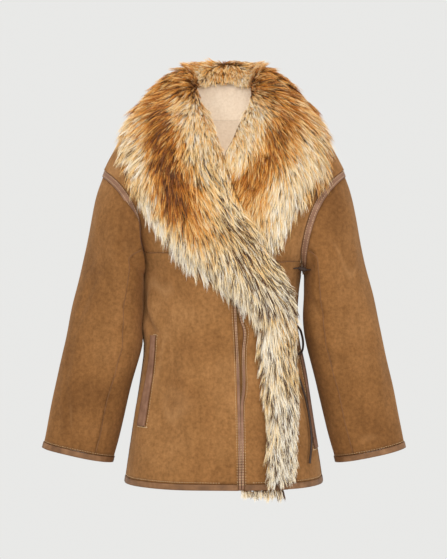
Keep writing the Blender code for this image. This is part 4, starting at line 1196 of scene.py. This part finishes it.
def combed(face, skin, over_neck):
    """Which way the hair lies at each point of the underfur: a unit vector along it.

    Over the given share of its width, behind the neck, the hair falls in towards the neck.
    """
    out = unit(np.gradient(face, axis=1))
    along = unit(np.gradient(face, axis=0))
    normal = unit(np.cross(out, along))
    flip = np.sign(np.sum(normal * (face - skin), axis=2, keepdims=True))
    normal = normal * np.where(flip == 0, 1, flip)
    x, y, z = np.moveaxis(face, -1, 0)
    flow = np.zeros_like(face)
    for strokes, own_side in ((FRONT_STROKES, y < 0), (BACK_STROKES, y >= 0)):
        total = np.zeros_like(x)
        combed_x, combed_z = np.zeros_like(x), np.zeros_like(x)
        for row in strokes:
            near = np.exp(-((x - row.x) ** 2 + (z - row.z) ** 2) / STROKE_REACH**2) + 1e-6
            total += near
            combed_x += near * row.way_x
            combed_z += near * row.way_z
        flow[..., 0] += np.where(own_side, combed_x / total, 0)
        flow[..., 2] += np.where(own_side, combed_z / total, 0)
    flow += OVER_THE_CREST * smooth_step(z, -0.13, -0.03)[..., None] * out
    if over_neck:
        across = np.linspace(0, 1, face.shape[1])[None, :, None]
        behind = smooth_step(face[:, :1, 1:2], 0.020, 0.044)
        parting = over_neck * (1 + 0.30 * np.sin(83 * x + 0.7))[..., None]      # it wanders
        inward = (1 - smooth_step(across / parting, 0.75, 1.25)) * behind
        aside = (np.sign(x) * smooth_step(np.abs(x), 0.0, 0.03))[..., None] * np.abs(along) * 0.5
        flow = flow * (1 - inward) + (aside - out) * inward
        ruffled = np.exp(-(((across / parting - 1) / 0.55) ** 2)) * behind
        flow += ruffled * np.sin(390 * x + 1.1)[..., None] * np.abs(along) * 0.3
    swirl = 0.10 * np.sin(83 * x + 31 * z) + 0.08 * np.sin(131 * z - 97 * x + 1.0)
    flow = flow + swirl[..., None] * np.cross(normal, flow)
    return unit(flow - normal * np.sum(flow * normal, axis=2, keepdims=True))


LOCK_HAIRS = 12
LOCK_LENGTH = 0.048       # a lock's length before it is scaled
LOCK_RADIUS = 0.0034
HAIR_WIDTH = 0.0010
LOCK_KINDS = 7

lock_patterns = bpy.data.collections.new("lock patterns")
bpy.context.scene.collection.children.link(lock_patterns)
chance = np.random.default_rng(83)
for kind in range(LOCK_KINDS):
    work = bmesh.new()
    root_to_tip = work.verts.layers.float.new("root_to_tip")
    rank_layer = work.verts.layers.float.new("rank")
    for hair in range(LOCK_HAIRS):
        spin, distance = chance.uniform(0, 2 * math.pi), LOCK_RADIUS * chance.uniform(0, 1) ** 0.5
        root = Vector((distance * math.cos(spin), distance * math.sin(spin), -0.002))
        length = LOCK_LENGTH * chance.uniform(0.72, 1.12)
        rise = chance.uniform(0.16, 0.34)
        gather = chance.uniform(0.40, 0.98)
        curl = chance.normal(0, 0.045)
        roll = chance.uniform(-0.9, 0.9)
        rank = chance.uniform(0, 1)
        sides = []
        for share in (0.0, 0.34, 0.68, 1.0):
            bend = share * share
            point = Vector((root.x + length * share * (1 - 0.06 * share),
                            root.y * (1 - gather * share) + length * curl * bend,
                            root.z + length * rise * (1.7 * share - 0.95 * bend)))
            wide = HAIR_WIDTH / 2 * (1 - 0.35 * share)
            aside = Vector((0, math.cos(roll), math.sin(roll))) * wide
            ends = [point] if share == 1.0 else [point - aside, point + aside]
            verts = [work.verts.new(end) for end in ends]
            for vert in verts:
                vert[root_to_tip] = share
                vert[rank_layer] = rank
            sides.append(verts)
        for first, second in zip(sides, sides[1:]):
            if len(second) == 2:
                work.faces.new((first[0], first[1], second[1], second[0]))
            else:
                work.faces.new((first[0], first[1], second[0]))
    bmesh.ops.triangulate(work, faces=work.faces)
    mesh = mesh_from(work, "lock_%d" % kind)
    mesh.shade_smooth()
    lock_patterns.objects.link(bpy.data.objects.new("lock_%d" % kind, mesh))

fur_tree, given, add = mesh_tree("fur locks", Locks="Collection", Density="Float", Seed="Int",
                                 Fur="Material")


def stored(name, kind="FLOAT"):
    """A value that the bed or a lock carries at each point."""
    return add("GeometryNodeInputNamedAttribute", {"Name": name}, data_type=kind).outputs[0]


def maths(operation, *values):
    return add("ShaderNodeMath", dict(enumerate(values)), operation=operation).outputs[0]


def by_chance(seed, low, high):
    """A number between two others, drawn anew at each point."""
    return add("FunctionNodeRandomValue", {"Seed": seed, 2: low, 3: high},
               data_type="FLOAT").outputs[1]


STRAY = 0.20              # how far a lock strays from the way that the fur is combed
LOT_SPREAD = 0.17         # how much a lock's shade differs from its neighbours'
HAIR_SPREAD = 0.42        # and a hair's from its lock's
DARKEST, PALEST = 0.12, 0.99         # the shades that coloured hair keeps between
DARK_HAIR = 0.09          # the shade of the dark hairs, of which greyer fur has more
DARK_LIMIT = 0.24         # how grey it must be for its first dark hairs
scattered = add("GeometryNodeDistributePointsOnFaces",
                {"Mesh": given["Geometry"], "Seed": given["Seed"],
                 "Density": maths("MULTIPLY", given["Density"], stored("thick"))})
stray = add("FunctionNodeRandomValue", {"Min": (-STRAY,) * 3, "Max": (STRAY,) * 3, "Seed": 5},
            data_type="FLOAT_VECTOR")
way = add("ShaderNodeVectorMath", {0: stored("flow", "FLOAT_VECTOR"),
                                   1: stray.outputs["Value"]}, operation="ADD")
aimed = add("FunctionNodeAxesToRotation",
            {"Primary Axis": scattered.outputs["Normal"], "Secondary Axis": way.outputs[0]},
            primary_axis="Z", secondary_axis="X")
pick = add("FunctionNodeRandomValue", {"Seed": 11, 4: 0, 5: LOCK_KINDS - 1}, data_type="INT")
size = maths("MULTIPLY", by_chance(17, 0.78, 1.18), stored("length"))
broad = maths("MULTIPLY_ADD", size, 0.5, 0.45)
lock_size = add("ShaderNodeCombineXYZ", {0: size, 1: broad, 2: broad})
kept = add("GeometryNodeStoreNamedAttribute",
           {"Geometry": scattered.outputs["Points"], "Name": "lot",
            "Value": by_chance(23, -LOT_SPREAD, LOT_SPREAD)}, data_type="FLOAT", domain="POINT")
kinds = add("GeometryNodeCollectionInfo", {"Collection": given["Locks"],
                                           "Separate Children": True, "Reset Children": True})
placed = add("GeometryNodeInstanceOnPoints",
             {"Points": kept.outputs[0], "Instance": kinds.outputs[0], "Pick Instance": True,
              "Instance Index": pick.outputs[2], "Rotation": aimed.outputs[0],
              "Scale": lock_size.outputs[0]})
real = add("GeometryNodeRealizeInstances", {"Geometry": placed.outputs[0]})
rank = stored("rank")
in_lock = maths("MULTIPLY", maths("SUBTRACT", rank, 0.5), HAIR_SPREAD)
own = maths("ADD", maths("ADD", stored("shade"), stored("lot")), in_lock)
own = maths("MINIMUM", maths("MAXIMUM", own, DARKEST), PALEST)
dark_from = maths("MULTIPLY_ADD", stored("lot"), 2.0, DARK_LIMIT)
dark = maths("LESS_THAN", maths("MULTIPLY_ADD", rank, 0.5, dark_from), stored("grey"))
hair_shade = maths("MULTIPLY", own, maths("SUBTRACT", 1.0, dark))
hair_shade = maths("ADD", hair_shade, maths("MULTIPLY", dark, DARK_HAIR))
map_place = add("ShaderNodeCombineXYZ", {0: hair_shade, 1: stored("root_to_tip")})
mapped = add("GeometryNodeStoreNamedAttribute",
             {"Geometry": real.outputs[0], "Name": "OFBake", "Value": map_place.outputs[0]},
             data_type="FLOAT2", domain="CORNER")
coloured = add("GeometryNodeSetMaterial",
               {"Geometry": mapped.outputs[0], "Material": given["Fur"]})
add("NodeGroupOutput", {"Geometry": coloured.outputs[0]})

long_fur, tree, shader = finish_of("long fur", 0.55, Specular_IOR_Level=0.28,
                                   Sheen_Weight=0.06, Sheen_Roughness=0.4)
hair_map = wire(tree, "ShaderNodeUVMap", uv_map="OFBake")
split = wire(tree, "ShaderNodeSeparateXYZ", {0: hair_map.outputs[0]})
shade_of_hair, up_the_hair = split.outputs[0], split.outputs[1]
middle = ramp(tree, shade_of_hair, (0.0, (50, 35, 24)), (0.09, (78, 52, 33)),
              (0.20, (148, 79, 25)), (0.34, (201, 117, 32)), (0.50, (226, 164, 75)),
              (0.66, (238, 202, 140)), (0.84, (238, 224, 198)), (1.0, (242, 235, 222)))
# Darker towards the root: partly the underhair's own colour, partly painted shade deep in the fur.
root = ramp(tree, shade_of_hair, (0.0, (26, 19, 14)), (0.25, (84, 45, 17)),
            (0.5, (130, 81, 32)), (0.8, (150, 110, 70)), (1.0, (160, 132, 98)))
tip = ramp(tree, shade_of_hair, (0.0, (26, 18, 13)), (0.2, (128, 70, 24)),
           (0.4, (229, 158, 64)), (0.62, (250, 223, 162)), (1.0, (255, 250, 238)))
lower = blend_colours(tree, ramp(tree, up_the_hair, (0.02, 0), (0.45, 1)), root, middle)
upper = blend_colours(tree, ramp(tree, up_the_hair, (0.55, 0), (0.95, 1)), lower, tip)
dye(tree, shader, upper)

underfur, tree, shader = finish_of("underfur", 0.9, Specular_IOR_Level=0.1)
depth_shade = wire(tree, "ShaderNodeAttribute", attribute_name="shade").outputs["Fac"]
tone = ramp(tree, depth_shade, (0.0, (46, 31, 20)), (0.3, (116, 66, 26)),
            (0.6, (156, 108, 58)), (1.0, (196, 166, 124)))
strands = noise(tree, 420, 3, 0.7)
parted = ramp(tree, strands, (0.3, (120, 112, 104)), (0.7, 1))
dye(tree, shader, blend_colours(tree, 0.8, tone, parted, "MULTIPLY"))
raise_grain(tree, shader, strands, 0.004)


def set_values(mesh, name, values, kind="FLOAT"):
    layer = mesh.attributes.new(name, kind, "POINT")
    layer.data.foreach_set("vector" if kind == "FLOAT_VECTOR" else "value", np.ravel(values))


def lock_bed(name, face, out, flow, **values):
    """The bed that locks stand on: quads through rows of points, which face out.

    It carries the way the fur is combed, and the locks' shade, grey, length and thickness."""
    count = len(face[0])
    faces = []
    for row in range(len(face) - 1):
        for column in range(count - 1):
            corner = row * count + column
            faces.append((corner, corner + 1, corner + count + 1, corner + count))
    bed = bpy.data.meshes.new(name + "_bed")
    bed.from_pydata([tuple(point) for point in np.reshape(face, (-1, 3))], [], faces)
    bed.update()
    if np.dot(bed.polygons[0].normal, out) < 0:
        bed.flip_normals()
    set_values(bed, "flow", flow, "FLOAT_VECTOR")
    for key, value in values.items():
        set_values(bed, key, value)
    return bed


def locks_on(name, bed, density, seed):
    """The locks of long hair that stand on a bed, so many to a square metre, as one piece."""
    hair = grown(name, bed, fur_tree, {"Locks": lock_patterns, "Density": density,
                                       "Seed": seed, "Fur": long_fur})
    return new_piece(name, hair, long_fur)


SHORTER_AT_NECK = 0.35
THICKER_AT_NECK, THICKER_AT_PARTING = 2.0, 1.2          # by this share of its own thickness


def fur(name, node, sections, lengths, insets, locks, seed, depth=0.52, columns=14,
        parts=1, over_neck=0):
    """Underfur and a number of locks of long hair on it, in parts down its length.

    lengths and insets are how long the hair is and how far in from the edge it stops, by
    the place along the fur; over_neck is the share of its width that falls to the neck."""
    face, skin = underfur_grid(sections, depth, insets, columns)
    flow = combed(face, skin, over_neck)
    rows = face.shape[0]
    place = np.linspace(0, 1, rows)[:, None] + np.zeros(face.shape[:2])
    across = np.linspace(0, 1, columns + 1)[None, :] + np.zeros(face.shape[:2])
    near_neck = 1 - smooth_step(across, 0.0, 0.25)
    hair_length = lengths(place, across) * (1 - SHORTER_AT_NECK * near_neck)
    thick = 1 + THICKER_AT_NECK * near_neck
    if over_neck:
        thick = thick + THICKER_AT_PARTING * np.exp(-(((across - over_neck) / 0.06) ** 2))

    rings = [list(face[row]) + list(skin[row][::-1]) for row in range(rows)]
    mesh = closed_rings(name + "_underfur", rings)
    set_values(mesh, "shade", fur_colouring(as_points(vert.co for vert in mesh.vertices))[0])
    body = new_piece(name + "_underfur", mesh, underfur)
    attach(body, "root")
    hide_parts(node)

    cuts = [round(rows * i / parts) for i in range(parts + 1)]
    for part in range(parts):
        first, last = cuts[part], min(cuts[part + 1] + 1, rows)
        shade, grey = fur_colouring(face[first:last].reshape(-1, 3))
        label = name + "_hair" + ("_%d" % (part + 1) if parts > 1 else "")
        bed = lock_bed(label, face[first:last], (face - skin)[first, 0], flow[first:last],
                       shade=shade, grey=grey, length=hair_length[first:last] / LOCK_LENGTH,
                       thick=thick[first:last])
        area = sum(polygon.area * thick.flat[first * (columns + 1) + polygon.vertices[0]]
                   for polygon in bed.polygons)
        piece = locks_on(label, bed, locks / parts / area, seed + part)
        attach(piece, "root")
        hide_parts(node)


collar_sections = [collar_section(180 + 180 * step / COLLAR_STEPS)
                   for step in range(COLLAR_STEPS + 1)]
for end in (0, -1):                            # its two ends are turned down on the lapels
    reach, base = collar_sections[end]
    lower = [point.lerp(root, 0.50) + Vector((0, -0.014, 0)) for point, root in zip(reach, base)]
    collar_sections.insert(end if end == 0 else len(collar_sections), (lower, base))


def collar_hair_length(place, across):
    """Longer towards the collar's outer edge, but short at the shoulders near the neck."""
    at_shoulder = smooth_step(np.abs(place - 0.5), 0.34, 0.44) * smooth_step(-across, -0.6, -0.35)
    return (0.028 + 0.014 * smooth_step(across, 0.15, 0.45)) * (1 - 0.45 * at_shoulder)


def lapel_sections(rows, laps, from_shoulder):
    stations = STATIONS_PER_ROW * (len(rows) - 1)
    return [lapel_section(rows, station / STATIONS_PER_ROW, laps, from_shoulder)
            for station in range(stations + 1)]


front_sections = lapel_sections(FRONT_FUR, True, False)      # its last row only guides the curve
fur("collar_back", "fur_collar_back", collar_sections, collar_hair_length,
    lambda place: 0.040 - 0.016 * math.sin(math.pi * place), 4400, 401, depth=0.78, parts=2,
    over_neck=0.13)
fur("lapel_right", "fur_lapel_right", lapel_sections(OVER_LAPEL, True, True),
    lambda place, across: 0.042 + 0.008 * smooth_step(place, 0.2, 0.6),
    lambda place: 0.040 - 0.006 * smooth_step(place, 0.05, 0.3), 4600, 431, parts=2)
fur("lapel_left", "fur_lapel_left", lapel_sections(UNDER_LAPEL, False, True),
    lambda place, across: 0.044,
    lambda place: 0.040 - 0.016 * smooth_step(place, 0.05, 0.4), 2800, 461)
fur("front_edge", "fur_front_edge", front_sections[:-STATIONS_PER_ROW],
    lambda place, across: 0.044 - 0.024 * smooth_step(place, 0.75, 1.0),
    lambda place: 0.018, 1600, 491, columns=8)

# ======================================================================================
# Hem tuft: wool and long hair of the over front's edge that hang out below its hem.  They
# are locks like the fur's, on a narrow bed inside the hem.
# ======================================================================================
TUFT_LENGTH = 0.016
TUFT_FROM, TUFT_TO = 0.030, 0.104
TUFT_DEEP_TO = 0.078      # up to here it is rooted deep in the wall, then nearer its outer face
TUFT_COLUMNS = 25
TUFT_LOCKS = 240000.0     # to the square metre
tuft_rows = []
for drop in (0.002, -0.003):
    row = []
    for x in [TUFT_FROM + (TUFT_TO - TUFT_FROM) * i / (TUFT_COLUMNS - 1)
              for i in range(TUFT_COLUMNS)]:
        angle = angle_at(x, HEM)
        inward = WALL * (0.9 if x < TUFT_DEEP_TO else 0.3)
        off_the_body = body_normal(angle, HEM) * (lap_lift(x, HEM) - inward)
        row.append(body_point(angle, HEM) + off_the_body + Vector((0, 0, drop)))
    tuft_rows.append(as_points(row))
tuft_place = np.linspace(0, 1, TUFT_COLUMNS)
uneven = 0.62 + 0.30 * np.sin(11 * tuft_place + 0.6) ** 2 + 0.45 * tuft_place
tuft_bed = lock_bed("hem_tuft", np.array(tuft_rows), (0, -1, 0),
                    np.tile((0.0, 0.1, -1.0), (2 * TUFT_COLUMNS, 1)),
                    shade=np.tile(0.86 - 0.1 * tuft_place, 2),
                    grey=np.tile(0.12 + 0.2 * tuft_place, 2),
                    length=np.tile(TUFT_LENGTH / LOCK_LENGTH * uneven, 2),
                    thick=np.ones(2 * TUFT_COLUMNS))
tuft = locks_on("hem_tuft", tuft_bed, TUFT_LOCKS, 521)
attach(tuft, "root")
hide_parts("fur_hem")

for pattern in list(lock_patterns.objects):
    bpy.data.objects.remove(pattern, do_unlink=True)
bpy.data.collections.remove(lock_patterns)
